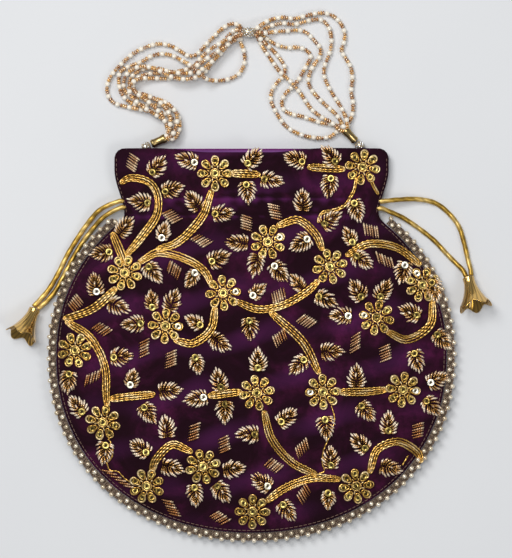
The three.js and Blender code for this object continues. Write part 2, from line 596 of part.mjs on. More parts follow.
const LOOP_NEAR = [
  [-72.6, 150.4, 1.7], [-66.6, 154.2, 1.3], [-60.8, 156.2, 1.3], [-55.8, 159.3, 1.3], [-49.8, 160.7, 1.3],
  [-43.7, 159.8, 1.6], [-39.4, 157.6, 3.6], [-34.7, 154.6, 10], [-29.6, 150.4, 12], [-25, 146.7, 7.4],
  [-19, 145.9, 2.4], [-12.4, 146.9, 1.5], [-6.9, 149.8, 1.3], [-4.1, 154.9, 1.3], [-3.9, 160.2, 1.3],
  [-4.9, 164.6, 1.3], [-6.2, 167.6, 1.5],
];

// One strand of the rope from its start to the length where it leaves.
function ropeStrand(slot, leavesAt) {
  const middle = new THREE.CatmullRomCurve3(ROPE_MIDDLE.map(([x, y]) => new THREE.Vector3(x, y, 0)), false, 'centripetal');
  const length = middle.getLength();
  const end = Math.min(leavesAt, length);
  const count = Math.round(end / ROPE_STATION);
  const places = [];
  for (let i = 0; i <= count; i++) {
    const along = (end * i) / count;
    const share = Math.min(1, along / length);
    const place = middle.getPointAt(share);
    const tangent = middle.getTangentAt(share);
    const turn = ((along - slot) / ROPE_PITCH) * 2 * Math.PI;
    const spread = smoothStep(along / 12) * smoothStep((length - along) / 12);
    const wide = THREE.MathUtils.lerp(ROPE_WIDE, ROPE_NARROW, smoothStep((along - 14) / 40));
    const across = THREE.MathUtils.lerp(STRAND_RING_RADIUS, wide, spread) * Math.cos(turn);
    const up = THREE.MathUtils.lerp(STRAND_RING_RADIUS, ROPE_HALF_HEIGHT, spread) * Math.sin(turn);
    places.push([place.x - tangent.y * across, place.y + tangent.x * across, ROPE_HEIGHT + up]);
  }
  return places;
}

function leftStrands() {
  const slotGap = ROPE_PITCH / ROPE_STRANDS;
  const strands = {
    strand_left_1: [...ropeStrand(30, 27), ...LOOP_FAR],
    strand_left_2: [...ropeStrand(30 + slotGap, 40), ...LOOP_NEAR],
  };
  for (let i = 2; i < ROPE_STRANDS; i++) strands[`strand_left_${i + 1}`] = ropeStrand(30 + i * slotGap, Infinity);
  return strands;
}

// The right half lies in open loops. Each strand runs from the centre bead to the right cap.
const RIGHT_STRANDS = {
  strand_right_1: [[3.4, 174.9, 5], [6, 177, 3.6], [10.2, 179.4, 1.8], [16.8, 180.8, 1.3], [23.9, 180.2, 1.3],
    [29.4, 181.6, 1.3], [34.9, 182.9, 1.3], [40.4, 183.2, 1.3], [45.4, 181.3, 1.3], [49.2, 177.4, 1.3],
    [51.4, 171.9, 1.3], [50.9, 167, 1.3], [49.6, 162.6, 1.3], [52, 158.2, 1.3], [54.7, 153.2, 1.3],
    [55.6, 146.6, 1.3], [54.9, 140, 1.3], [56, 133.4, 1.3], [55.4, 126.8, 1.6], [53.1, 121.6, 2.6]],
  strand_right_2: [[3.4, 174.6, 2.4], [6.5, 174.4, 1.4], [10.7, 176.2, 1.3], [16.8, 177.6, 1.3], [23.6, 177, 1.3],
    [29.4, 178.5, 1.3], [34.9, 179.7, 1.3], [39.3, 179.1, 1.3], [42.6, 175.2, 1.3], [44, 169.2, 1.3],
    [43.7, 163.7, 1.3], [42.1, 158.7, 1.3], [40.2, 153.8, 1.3], [40, 148.8, 1.3], [42.1, 143.3, 1.3],
    [44.8, 138.4, 1.3], [48.1, 133.4, 1.4], [50.6, 128.5, 2.8], [52.2, 124.6, 4.6], [52.6, 121.9, 5.6]],
  strand_right_3: [[3.4, 172.3, 6.8], [6.3, 171.9, 6.2], [9.6, 172.3, 4], [13.6, 173, 1.6], [20.1, 173.4, 1.3],
    [26.4, 173.8, 1.3], [30, 172.6, 1.3], [32.7, 170.3, 1.3], [35.5, 167, 1.3], [38, 163.7, 1.3],
    [37.6, 159.3, 1.3], [34.6, 154.9, 1.3], [32, 149.9, 1.3], [31.3, 145, 1.3], [33.3, 140.6, 1.3],
    [36.6, 136.7, 1.3], [40.4, 132.9, 1.3], [44.4, 129.4, 2], [47.8, 125.6, 4.6], [50.4, 120.6, 6.8]],
  strand_right_4: [[3.4, 172.3, 1.3], [5.6, 171.4, 1.3], [8.4, 169.2, 1.3], [13.5, 165.9, 1.3], [19.5, 164.2, 1.3],
    [25.6, 164.3, 1.3], [30.4, 162.7, 1.3], [32.6, 159.4, 1.3], [31, 155.5, 1.3], [28.4, 151, 1.3],
    [26, 146.6, 1.3], [22.4, 142.4, 1.3], [18.4, 138.4, 1.3], [16.6, 133.5, 1.3], [18.3, 129.4, 1.3],
    [22.5, 127.4, 1.3], [27.8, 126.3, 1.3], [33.3, 124.4, 1.3], [39, 122.6, 1.3], [44.4, 121.9, 1.3], [50.1, 120.4, 1.3]],
  strand_right_5: [[3.4, 169.7, 5.2], [5.6, 168.3, 4.6], [8.6, 165.6, 2.4], [12.9, 161.5, 1.3], [16.4, 157.1, 1.3],
    [18.4, 153.2, 1.3], [17.7, 148.8, 1.3], [14, 144.8, 1.3], [11.3, 140.6, 1.3], [10.7, 135.1, 1.3],
    [12.7, 130.1, 1.3], [15.6, 125.2, 1.3], [19, 120.9, 1.3], [23.9, 117.6, 1.3], [30, 115.4, 1.3],
    [36.6, 114.3, 1.3], [43.2, 115, 1.6], [48.2, 118.4, 2.6]],
  strand_right_6: [[3.4, 170, 2.4], [4.6, 167.6, 1.6], [6, 164.6, 1.3], [9.4, 159.6, 1.3], [12.8, 154.6, 1.6],
    [15.6, 150.8, 3.8], [19.4, 147.4, 4.2], [23, 143.6, 4.2], [26.6, 139.4, 3.4], [29.4, 135.2, 1.8],
    [32.2, 131.2, 1.4], [35.5, 128, 2.4], [39.6, 125.2, 4], [44, 122.8, 4.6], [48.4, 118.7, 5.6]],
};

// Looks.
const VELVET = { color: 0x3a1442, roughness: 0.9, metalness: 0 };
const SATIN = { color: 0x5b2a5f, roughness: 0.45, metalness: 0 };
const SILVER_BRAID = { color: 0xb5a98a, roughness: 0.35, metalness: 0.8 };
const GOLD_CORD = { color: 0xc29a52, roughness: 0.4, metalness: 0.5 };
const BRASS = { color: 0xa88a4a, roughness: 0.35, metalness: 0.9 };
const AMBER_BEADS = { color: 0xc98a2b, roughness: 0.2, metalness: 0.1 };
const RHINESTONE = { color: 0xd8dde2, roughness: 0.12, metalness: 0.7 };

const bag = new THREE.Group();

function addMesh(name, geometry, look) {
  const mesh = new THREE.Mesh(geometry, new THREE.MeshStandardMaterial(look));
  mesh.name = name;
  bag.add(mesh);
  return mesh;
}

// Turns a piece made along +Z so that it points the given way in plan, tilted up by tilt degrees.
function pointAlong(mesh, [x, y], tilt = 0) {
  const rise = Math.tan(THREE.MathUtils.degToRad(tilt)) * Math.hypot(x, y);
  const way = new THREE.Vector3(x, y, rise).normalize();
  mesh.quaternion.setFromUnitVectors(new THREE.Vector3(0, 0, 1), way);
}

const halves = velvetHalves();
addMesh('front_panel', toGeometry(embroideredFront(halves.front)), VELVET);
addMesh('back_panel', toGeometry(halves.back.subtract(pouchCavity())), VELVET);
addMesh('lining', toGeometry(lining()), SATIN);
addMesh('bead_trim', trim(), SILVER_BRAID);

for (const [name, places] of Object.entries(DRAWCORDS)) addMesh(name, tube(places, DRAWCORD_DIAMETER), GOLD_CORD);
for (const [name, { collar, mouth }] of Object.entries(BELLS)) {
  const bell = addMesh(name, bellGeometry(), BRASS);
  bell.position.set(...collar);
  pointAlong(bell, mouth, BELL_TILT);
}

for (const [side, link] of [['left', LINK_LEFT], ['right', LINK_RIGHT]]) {
  const ball = addMesh(`link_ball_${side}`, ballGeometry(LINK_BALL_DIAMETER), RHINESTONE);
  ball.position.set(...link.ball, LINK_HEIGHT);
  pointAlong(ball, link.towards);
  const cap = addMesh(`end_cap_${side}`, capGeometry(), BRASS);
  cap.position.set(...capEnd(link, LINK_BALL_DIAMETER / 2 + END_GAP), LINK_HEIGHT);
  pointAlong(cap, link.towards);
}
const centreBead = addMesh('centre_bead', centreBeadGeometry(), RHINESTONE);
centreBead.position.set(...CENTRE_BEAD, ROPE_HEIGHT);
pointAlong(centreBead, [1, 0]);

for (const [name, places] of Object.entries({ ...leftStrands(), ...RIGHT_STRANDS })) {
  addMesh(name, tube(places, STRAND_DIAMETER), AMBER_BEADS);
}

export default bag;
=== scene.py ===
"""A potli bag lying on a pale floor: dark purple velvet with raised gold bullion embroidery, a
trim of metal balls, gold tissue drawcords with flared bells, and a strap of pearls and seed beads.

Every shape is worked out in millimetres on numpy grids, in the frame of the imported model: +Z up
from the floor, +Y towards the mouth. make_piece turns it to metres.
"""

import bpy
import numpy as np
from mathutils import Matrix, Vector


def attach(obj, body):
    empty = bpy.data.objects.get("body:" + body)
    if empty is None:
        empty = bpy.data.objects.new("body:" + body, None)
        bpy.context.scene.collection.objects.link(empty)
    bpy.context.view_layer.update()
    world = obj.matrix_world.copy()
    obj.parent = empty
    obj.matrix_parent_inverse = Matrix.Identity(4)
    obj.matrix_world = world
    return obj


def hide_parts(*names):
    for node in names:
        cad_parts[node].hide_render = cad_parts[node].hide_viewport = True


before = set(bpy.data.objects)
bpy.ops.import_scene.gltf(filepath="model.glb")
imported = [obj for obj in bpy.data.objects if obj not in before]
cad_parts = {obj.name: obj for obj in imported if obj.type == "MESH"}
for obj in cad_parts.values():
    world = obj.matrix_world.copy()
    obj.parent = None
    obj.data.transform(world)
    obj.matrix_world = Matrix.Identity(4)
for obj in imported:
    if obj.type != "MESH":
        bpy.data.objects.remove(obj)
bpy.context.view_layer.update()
rng = np.random.default_rng(7)
MM = 0.001
UP = np.array([0.0, 0.0, 1.0])

# Sizes of the pouch, the same as in the model's source.
BODY_HALF_WIDTH = 107.3
BODY_HALF_LENGTH = 96.6
BODY_ROUNDNESS = 2.12
WAIST_HALF_WIDTH = 69.3
MOUTH_HALF_WIDTH = 75.4
NECK_HEIGHT = 38.6
MOUTH_CORNER = 5.5
WAIST_BLEND = 3
FRONT_CROWN = 16.5
NECK_CROWN = 6
SEAM_HEIGHT = 5.5
CROWN_FALL = 2.2
CROWN_SHARPNESS = 0.8
BACK_FLAT_SHARE = 0.72
TRIM_GAP = 0.3
TRIM_WIDTH = 5.3
BALL_PITCH = 5.8
BALL_DIAMETER = 2.7
VELVET_THICKNESS = 1.2

# Slack cloth: each low wave's radians a millimetre along x and y, and its phase.
WAVES = ((0.105, 0.07, 0.6), (-0.13, 0.16, 2.1), (0.21, 0.05, 4.0), (0.04, -0.24, 1.2))
WAVE_HEIGHT = 0.3
CASING_Y = 76.5
CASING_SPREAD = 5.0
GATHER_HEIGHT = 0.5
GROOVES_Y = (71.8, 81.4)
GROOVE_SPREAD = 0.9
GROOVE_DEPTH = 0.35


def superellipse(share):
    """Half width as a share: (1 - share^n)^(1/n)."""
    return np.clip(1 - np.clip(share, 0, 1) ** BODY_ROUNDNESS, 0, 1) ** (1 / BODY_ROUNDNESS)


WAIST_ABOVE_CENTRE = BODY_HALF_LENGTH * superellipse(WAIST_HALF_WIDTH / BODY_HALF_WIDTH)
TRIM_REACH = TRIM_GAP + TRIM_WIDTH
CENTRE_Y = (BODY_HALF_LENGTH + TRIM_REACH - WAIST_ABOVE_CENTRE - NECK_HEIGHT) / 2
WAIST_Y = CENTRE_Y + WAIST_ABOVE_CENTRE
MOUTH_Y = WAIST_Y + NECK_HEIGHT


def smooth_step(t):
    """0 below 0, 1 above 1, and 3t^2 - 2t^3 between."""
    t = np.clip(t, 0, 1)
    return t * t * (3 - 2 * t)


def half_width(y, inset=0.0):
    """The body's superellipse up to its middle, and a smooth larger of body and neck above.

    The neck widens to the mouth. The smooth larger of a and b is
    (a + b + sqrt((a - b)^2 + blend^2)) / 2.
    """
    share = np.abs(y - CENTRE_Y) / (BODY_HALF_LENGTH - inset)
    body = (BODY_HALF_WIDTH - inset) * superellipse(share)
    widening = smooth_step((y - WAIST_Y) / (0.7 * NECK_HEIGHT))
    neck = WAIST_HALF_WIDTH + (MOUTH_HALF_WIDTH - WAIST_HALF_WIDTH) * widening - inset
    both = 0.5 * (body + neck + np.sqrt((body - neck) ** 2 + WAIST_BLEND**2))
    return np.where(y < CENTRE_Y, body, both)


def seam_share(x, y, inset=0.0):
    """0 in the pouch's middle and 1 at the seam."""
    above = np.abs(x) / np.maximum(half_width(y, inset), 1e-6)
    across = (np.abs(x) / (BODY_HALF_WIDTH - inset)) ** BODY_ROUNDNESS
    along = (np.abs(CENTRE_Y - y) / (BODY_HALF_LENGTH - inset)) ** BODY_ROUNDNESS
    below = (across + along) ** (1 / BODY_ROUNDNESS)
    return np.clip(np.where(y >= CENTRE_Y, above, below), 0, 1)


def front_z(x, y, inset=0.0):
    """Seam height + crown * (1 - share^2.2)^0.8, with a crown that sinks towards the neck."""
    towards_neck = smooth_step((y - CENTRE_Y) / WAIST_ABOVE_CENTRE)
    crown = FRONT_CROWN + (NECK_CROWN - FRONT_CROWN) * towards_neck - inset
    share = seam_share(x, y, inset)
    return SEAM_HEIGHT + crown * (1 - share**CROWN_FALL) ** CROWN_SHARPNESS


def back_z(x, y, inset=0.0):
    """Flat on the floor in the middle, curling up as a square to the seam near the edge."""
    curl = np.clip((seam_share(x, y, inset) - BACK_FLAT_SHARE) / (1 - BACK_FLAT_SHARE), 0, 1)
    return SEAM_HEIGHT - (SEAM_HEIGHT - inset) * (1 - curl**2)


def rumple(x, y):
    """Slack cloth: crossing low waves, and small gathers across the drawcord's casing.

    The waves are sines of 26 to 50 mm and fade out at the seam. The gathers are a 9 mm wave along
    x under a bell curve around the casing, between two shallow stitched grooves.
    """
    waves = sum(np.sin(per_x * x + per_y * y + phase) for per_x, per_y, phase in WAVES)
    casing = np.exp(-(((y - CASING_Y) / CASING_SPREAD) ** 2))
    gathers = casing * np.sin(0.7 * x + 1.4 * np.sin(0.11 * x))
    grooves = sum(np.exp(-(((y - groove) / GROOVE_SPREAD) ** 2)) for groove in GROOVES_Y)
    height = WAVE_HEIGHT * waves + GATHER_HEIGHT * gathers - GROOVE_DEPTH * grooves
    return height * (1 - seam_share(x, y) ** 6)


def velvet_z(x, y):
    """Height of the velvet's face, with its rumples."""
    return front_z(x, y) + rumple(x, y)


def unit(ways):
    """The same ways, each of length 1."""
    return ways / np.linalg.norm(ways, axis=-1, keepdims=True)


def distances(points):
    """How far along its line each point is: 0, and then the sum of the steps before it."""
    steps = np.linalg.norm(np.diff(points, axis=-2), axis=-1)
    return np.concatenate([np.zeros_like(steps[..., :1]), np.cumsum(steps, -1)], -1)


def line_length(points):
    """The sum of a line's steps."""
    return float(np.linalg.norm(np.diff(np.asarray(points, float), axis=0), axis=1).sum())


def even_line(points, count):
    """The same line with count points at even spacing."""
    points = np.asarray(points, float)
    along = distances(points)
    places = np.linspace(0, along[-1], count)
    return np.stack([np.interp(places, along, points[:, k]) for k in range(points.shape[1])], 1)


def through(points, samples=16):
    """A smooth curve through the points: a cubic between neighbours.

    Each cubic is timed by the square root of its points' distance, so that it makes no loop.
    """
    points = np.asarray(points, float)
    before = 2 * points[:1] - points[1:2]
    after = 2 * points[-1:] - points[-2:-1]
    held = np.concatenate([before, points, after])
    p0, p1, p2, p3 = held[:-3], held[1:-2], held[2:-1], held[3:]
    pairs = ((p0, p1), (p1, p2), (p2, p3))
    d0, d1, d2 = (np.sqrt(np.linalg.norm(b - a, axis=1))[:, None] for a, b in pairs)
    start = ((p1 - p0) / d0 - (p2 - p0) / (d0 + d1) + (p2 - p1) / d1) * d1
    end = ((p2 - p1) / d1 - (p3 - p1) / (d1 + d2) + (p3 - p2) / d2) * d1
    t = np.linspace(0, 1, samples, endpoint=False)[None, :, None]
    p1, p2, start, end = (a[:, None] for a in (p1, p2, start, end))
    squared = 3 * (p2 - p1) - 2 * start - end
    cubed = 2 * (p1 - p2) + start + end
    curve = p1 + start * t + squared * t**2 + cubed * t**3
    return np.concatenate([curve.reshape(-1, points.shape[1]), points[-1:]])


def seam_line(count):
    """The pouch's outline at even spacing: from the bottom up the right side, along the mouth and
    down the left side."""
    power = 2 / BODY_ROUNDNESS
    top = np.arcsin((WAIST_ABOVE_CENTRE / BODY_HALF_LENGTH) ** (BODY_ROUNDNESS / 2))
    angle = np.linspace(-np.pi / 2, top, 200)
    body_y = CENTRE_Y + BODY_HALF_LENGTH * np.sign(angle) * np.abs(np.sin(angle)) ** power
    neck_y = np.linspace(WAIST_Y, MOUTH_Y - MOUTH_CORNER, 60)[1:]
    y = np.concatenate([body_y, neck_y])
    x = half_width(y)
    x[0] = 0
    turn = np.linspace(0, np.pi / 2, 12)[1:]
    corner_x = x[-1] - MOUTH_CORNER * (1 - np.cos(turn))
    mouth_x = np.linspace(x[-1] - MOUTH_CORNER, 0, 30)[1:]
    x = np.concatenate([x, corner_x, mouth_x])
    y = np.concatenate([y, MOUTH_Y - MOUTH_CORNER * (1 - np.sin(turn)), np.full(29, MOUTH_Y)])
    right = np.stack([x, y], 1)
    left = right[::-1][:-1] * [-1, 1]
    return even_line(np.concatenate([right, left[1:]]), count + 1)[:-1]


def body_seam(below_waist):
    """The outline's round part, up to that far below the waist on either side."""
    seam = seam_line(1400)
    body = seam[seam[:, 1] < WAIST_Y - below_waist]
    return body[np.argsort(np.arctan2(body[:, 0], CENTRE_Y - body[:, 1]))]


# Grids to meshes. A batch of grids is an array of copies by rows by columns by three.
def skin(points, wrap_rows=False, closed_ends=(0, -1), lengths=None, tone=None):
    """Faces of a batch of grids: a quad between neighbours, and one face over each closed end.

    The map's first number goes once around the columns, and its second is the length along the
    rows in millimetres. tone is one number a point, for the material.
    """
    copies, rows, columns = points.shape[:3]
    index = np.arange(copies * rows * columns).reshape(copies, rows, columns)
    row, column = np.arange(rows if wrap_rows else rows - 1), np.arange(columns)
    next_row, next_column = (row + 1) % rows, (column + 1) % columns
    corners = [(row, column), (next_row, column), (next_row, next_column), (row, next_column)]
    quads = np.stack([index[:, r[:, None], c[None]] for r, c in corners], -1).reshape(-1, 4)
    if lengths is None:
        lengths = distances(points[:, :, 0])
    last = lengths[:, -1:] + (lengths[:, -1:] - lengths[:, -2:-1])
    ends = np.concatenate([lengths, last], 1)
    span = (copies, len(row), len(column))
    low = np.broadcast_to(ends[:, row][:, :, None], span)
    high = np.broadcast_to(ends[:, row + 1][:, :, None], span)
    left = np.broadcast_to((column / columns)[None, None], span)
    right = np.broadcast_to(((column + 1) / columns)[None, None], span)
    u = np.stack([left, left, right, right], -1)
    v = np.stack([low, high, high, low], -1)
    groups = [(quads, np.stack([u, v], -1).reshape(-1, 2))]
    for end in () if wrap_rows else closed_ends:
        ring = index[:, 0] if end == 0 else index[:, -1, ::-1]
        flat = np.stack([np.zeros(ring.shape), np.repeat(lengths[:, end, None], columns, 1)], -1)
        groups.append((ring, flat.reshape(-1, 2)))
    tone = np.zeros(index.shape) if tone is None else np.broadcast_to(tone, index.shape)
    return {"points": points.reshape(-1, 3), "groups": groups, "tone": tone.ravel()}


def carried(routes, radius, sides=6, closed=False, height=1.0, tone=None):
    """Tubes: an ellipse carried along each route.

    Point = route + radius * (cos a * side + height * sin a * up). side lies level and square to
    the route, and up is square to both.
    """
    routes = np.asarray(routes, float)
    routes = routes[None] if routes.ndim == 2 else routes
    if closed:
        ahead = unit(np.roll(routes, -1, 1) - np.roll(routes, 1, 1))
    else:
        ahead = unit(np.gradient(routes, axis=1))
    side = np.cross(ahead, UP)
    side /= np.maximum(np.linalg.norm(side, axis=2, keepdims=True), 1e-9)
    up = np.cross(side, ahead)
    angle = (np.arange(sides) * 2 * np.pi / sides)[:, None]
    radius = np.broadcast_to(np.asarray(radius, float), routes.shape[:2])[:, :, None, None]
    ring = np.cos(angle) * side[:, :, None] + height * np.sin(angle) * up[:, :, None]
    points = routes[:, :, None] + radius * ring
    tone = None if tone is None else np.broadcast_to(tone, routes.shape[:2])[:, :, None]
    return skin(points, wrap_rows=closed, lengths=distances(routes), tone=tone)


def turned(profile, centres, axes, sides=8, ring=False, tone=None, size=1.0):
    """Turned pieces: a profile of (radius, height) places swept round an axis at each centre.

    Point = centre + radius * (cos a * e1 - sin a * e2) + height * axis, with e1 and e2 square to
    the axis. With ring, the profile is a closed loop, as in a sequin with its hole.
    """
    profile = np.asarray(profile, float)
    centres = np.atleast_2d(np.asarray(centres, float))
    axes = unit(np.broadcast_to(np.asarray(axes, float), centres.shape))
    helper = np.where(np.abs(axes[:, :1]) > 0.8, [[0.0, 1.0, 0.0]], [[1.0, 0.0, 0.0]])
    first = unit(np.cross(axes, helper))
    second = np.cross(axes, first)
    angle = (np.arange(sides) * 2 * np.pi / sides)[:, None]
    around = np.cos(angle) * first[:, None] - np.sin(angle) * second[:, None]
    scale = np.broadcast_to(np.asarray(size, float), len(centres))[:, None, None, None]
    out = profile[:, 0][:, None, None] * around[:, None]
    along = (profile[:, 1][:, None] * axes[:, None])[:, :, None]
    tone = None if tone is None else np.broadcast_to(tone, len(centres))[:, None, None]
    return skin(centres[:, None, None] + scale * (out + along), wrap_rows=ring, tone=tone)


def make_piece(name, surfaces, materials):
    """One object from several skins, in metres, with its map and its tone on the points.

    materials is one for all the skins, or one for each of them.
    """
    surfaces = surfaces if isinstance(surfaces, list) else [surfaces]
    materials = materials if isinstance(materials, list) else [materials]
    firsts = np.cumsum([0] + [len(s["points"]) for s in surfaces])
    points = np.concatenate([s["points"] for s in surfaces]) * MM
    tone = np.concatenate([s["tone"] for s in surfaces])
    groups = [
        (faces + first, uv) for s, first in zip(surfaces, firsts) for faces, uv in s["groups"]
    ]
    corners = np.concatenate([faces.ravel() for faces, uv in groups])
    sizes = np.concatenate([np.full(len(faces), faces.shape[1]) for faces, uv in groups])
    loop_starts = np.concatenate([[0], np.cumsum(sizes)[:-1]])
    uv = np.concatenate([uv for faces, uv in groups])
    mesh = bpy.data.meshes.new(name)
    mesh.vertices.add(len(points))
    mesh.vertices.foreach_set("co", points.astype(np.float32).ravel())
    mesh.loops.add(len(corners))
    mesh.loops.foreach_set("vertex_index", corners.astype(np.int32))
    mesh.polygons.add(len(sizes))
    mesh.polygons.foreach_set("loop_start", loop_starts.astype(np.int32))
    mesh.polygons.foreach_set("use_smooth", np.ones(len(sizes), bool))
    mesh.uv_layers.new(name="Map").data.foreach_set("uv", uv.astype(np.float32).ravel())
    tones = mesh.attributes.new("tone", "FLOAT", "POINT")
    tones.data.foreach_set("value", tone.astype(np.float32))
    for material in materials:
        mesh.materials.append(material)
    if len(materials) > 1:
        counts = [sum(len(faces) for faces, uv in s["groups"]) for s in surfaces]
        numbers = np.repeat(np.arange(len(counts)), counts)
        mesh.polygons.foreach_set("material_index", numbers.astype(np.int32))
    mesh.update(calc_edges=True)
    mesh.validate()
    piece = bpy.data.objects.new(name, mesh)
    bpy.context.scene.collection.objects.link(piece)
    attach(piece, "root")
    return piece


def add_modifier(piece, name, kind, **settings):
    """Adds a modifier with its settings."""
    modifier = piece.modifiers.new(name, kind)
    for key, value in settings.items():
        setattr(modifier, key, value)


# Materials.
def linear(code):
    """An sRGB hex colour as linear red, green, blue and alpha."""
    channels = np.array([int(code[i : i + 2], 16) for i in (1, 3, 5)]) / 255
    channels = np.where(channels <= 0.04045, channels / 12.92, ((channels + 0.055) / 1.055) ** 2.4)
    return (*channels, 1.0)


def plug(node, inputs):
    """Gives a node its inputs, by name or number, each a value or another node's socket."""
    for key, value in inputs.items():
        if isinstance(value, bpy.types.NodeSocket):
            node.id_data.links.new(value, node.inputs[key])
        else:
            node.inputs[key].default_value = value


def add(tree, kind, settings=None, inputs=None):
    """Adds a node with its settings and its inputs."""
    made = tree.nodes.new(kind)
    for key, value in (settings or {}).items():
        setattr(made, key, value)
    plug(made, inputs or {})
    return made


def start_material(name, **values):
    """A material with its shader, whose sockets take the given values. Returns all three."""
    material = bpy.data.materials.new(name)
    material.use_nodes = True
    tree = material.node_tree
    shader = tree.nodes["Principled BSDF"]
    plug(shader, {key.replace("_", " "): value for key, value in values.items()})
    return material, tree, shader


# A Mix node of colours takes its share at input 0 and its colours at 6 and 7, and gives the
# mixed colour at output 2. A Map Range node takes its range at 1 and 2 and the new one at 3 and 4.
COLOURS = {"data_type": "RGBA"}


def silk_velvet():
    """Silk velvet with a short cut pile, almost black from above.

    It glows purple where the pile leans, so soft lighter patches wander over it at random, partly
    the pile's own colour and partly painted sheen. Tone is painted sheen on top: where it is high,
    the colour turns light purple, as where tipped cloth catches the light. Its tufts are finer than
    the picture shows, so they are drawn 1 mm across.
    """
    material, tree, shader = start_material(
        "silk_velvet_pile", Roughness=0.95, Specular_IOR_Level=0.12,
        Sheen_Weight=0.22, Sheen_Roughness=0.4, Sheen_Tint=linear("#8c3f8c"),
    )
    place = add(tree, "ShaderNodeTexCoord").outputs["Object"]
    tone = add(tree, "ShaderNodeAttribute", {"attribute_name": "tone"}).outputs["Fac"]
    lean = add(tree, "ShaderNodeTexNoise", None, {
        "Vector": place, "Scale": 34, "Detail": 4, "Roughness": 0.6, "Distortion": 0.8,
    }).outputs["Fac"]
    # Soft lighter purple patches at random: partly the pile's own colour, partly painted sheen.
    crushed_pile_and_sheen = add(tree, "ShaderNodeMapRange", {"interpolation_type": "SMOOTHSTEP"}, {
        "Value": lean, 1: 0.44, 2: 0.74,
    }).outputs[0]
    tufts = add(tree, "ShaderNodeTexNoise", None, {
        "Vector": place, "Scale": 1000, "Detail": 2,
    }).outputs["Fac"]
    brushed = add(tree, "ShaderNodeTexNoise", None, {
        "Vector": place, "Scale": 230, "Detail": 3, "Roughness": 0.65,
    }).outputs["Fac"]
    speck = add(tree, "ShaderNodeMapRange", None, {
        "Value": brushed, 1: 0.35, 2: 0.65, 3: 0.0, 4: 0.75,
    }).outputs[0]
    base = add(tree, "ShaderNodeMix", COLOURS, {
        0: crushed_pile_and_sheen, 6: linear("#1b050e"), 7: linear("#461234"),
    }).outputs[2]
    # Darker brushed specks in the pile; painted sheen is mixed over this next.
    nap_and_painted_sheen = add(tree, "ShaderNodeMix", COLOURS, {0: speck, 6: base, 7: linear("#1e0713")}).outputs[2]
    # Painted sheen: tone lightens the velvet towards #7a2f78.
    sheen_painted_colour = add(tree, "ShaderNodeMix", COLOURS, {0: tone, 6: nap_and_painted_sheen, 7: linear("#7a2f78")})
    bump = add(tree, "ShaderNodeBump", None, {"Strength": 0.5, "Distance": 0.0005, "Height": tufts})
    plug(shader, {"Base Color": sheen_painted_colour.outputs[2], "Normal": bump.outputs["Normal"]})
    return material


def satin():
    """Polyester lining satin: smooth and purple, with thread lines that catch light.

    Its threads are finer than the picture shows, so a line is drawn about every 1.2 mm. Its colour
    clouds between darker and lighter purple as painted shade and highlight of folds.
    """
    material, tree, shader = start_material(
        "lining_satin_weave", Roughness=0.42, Sheen_Weight=0.2
    )
    place = add(tree, "ShaderNodeTexCoord").outputs["Object"]
    thread = add(tree, "ShaderNodeTexWave", {"bands_direction": "Y"}, {
        "Vector": place, "Scale": 260, "Distortion": 1.5,
    }).outputs["Fac"]
    painted_fold_shading = add(tree, "ShaderNodeTexNoise", None, {
        "Vector": place, "Scale": 45, "Detail": 3,
    }).outputs["Fac"]
    # Painted shade and highlight: the colour clouds between dark and light purple as if over folds.
    colour = add(tree, "ShaderNodeMix", COLOURS, {
        0: painted_fold_shading, 6: linear("#5b2a66"), 7: linear("#8a4c93"),
    })
    bump = add(tree, "ShaderNodeBump", None, {
        "Strength": 0.25, "Distance": 0.0002, "Height": thread,
    })
    plug(shader, {"Base Color": colour.outputs[2], "Normal": bump.outputs["Normal"]})
    return material


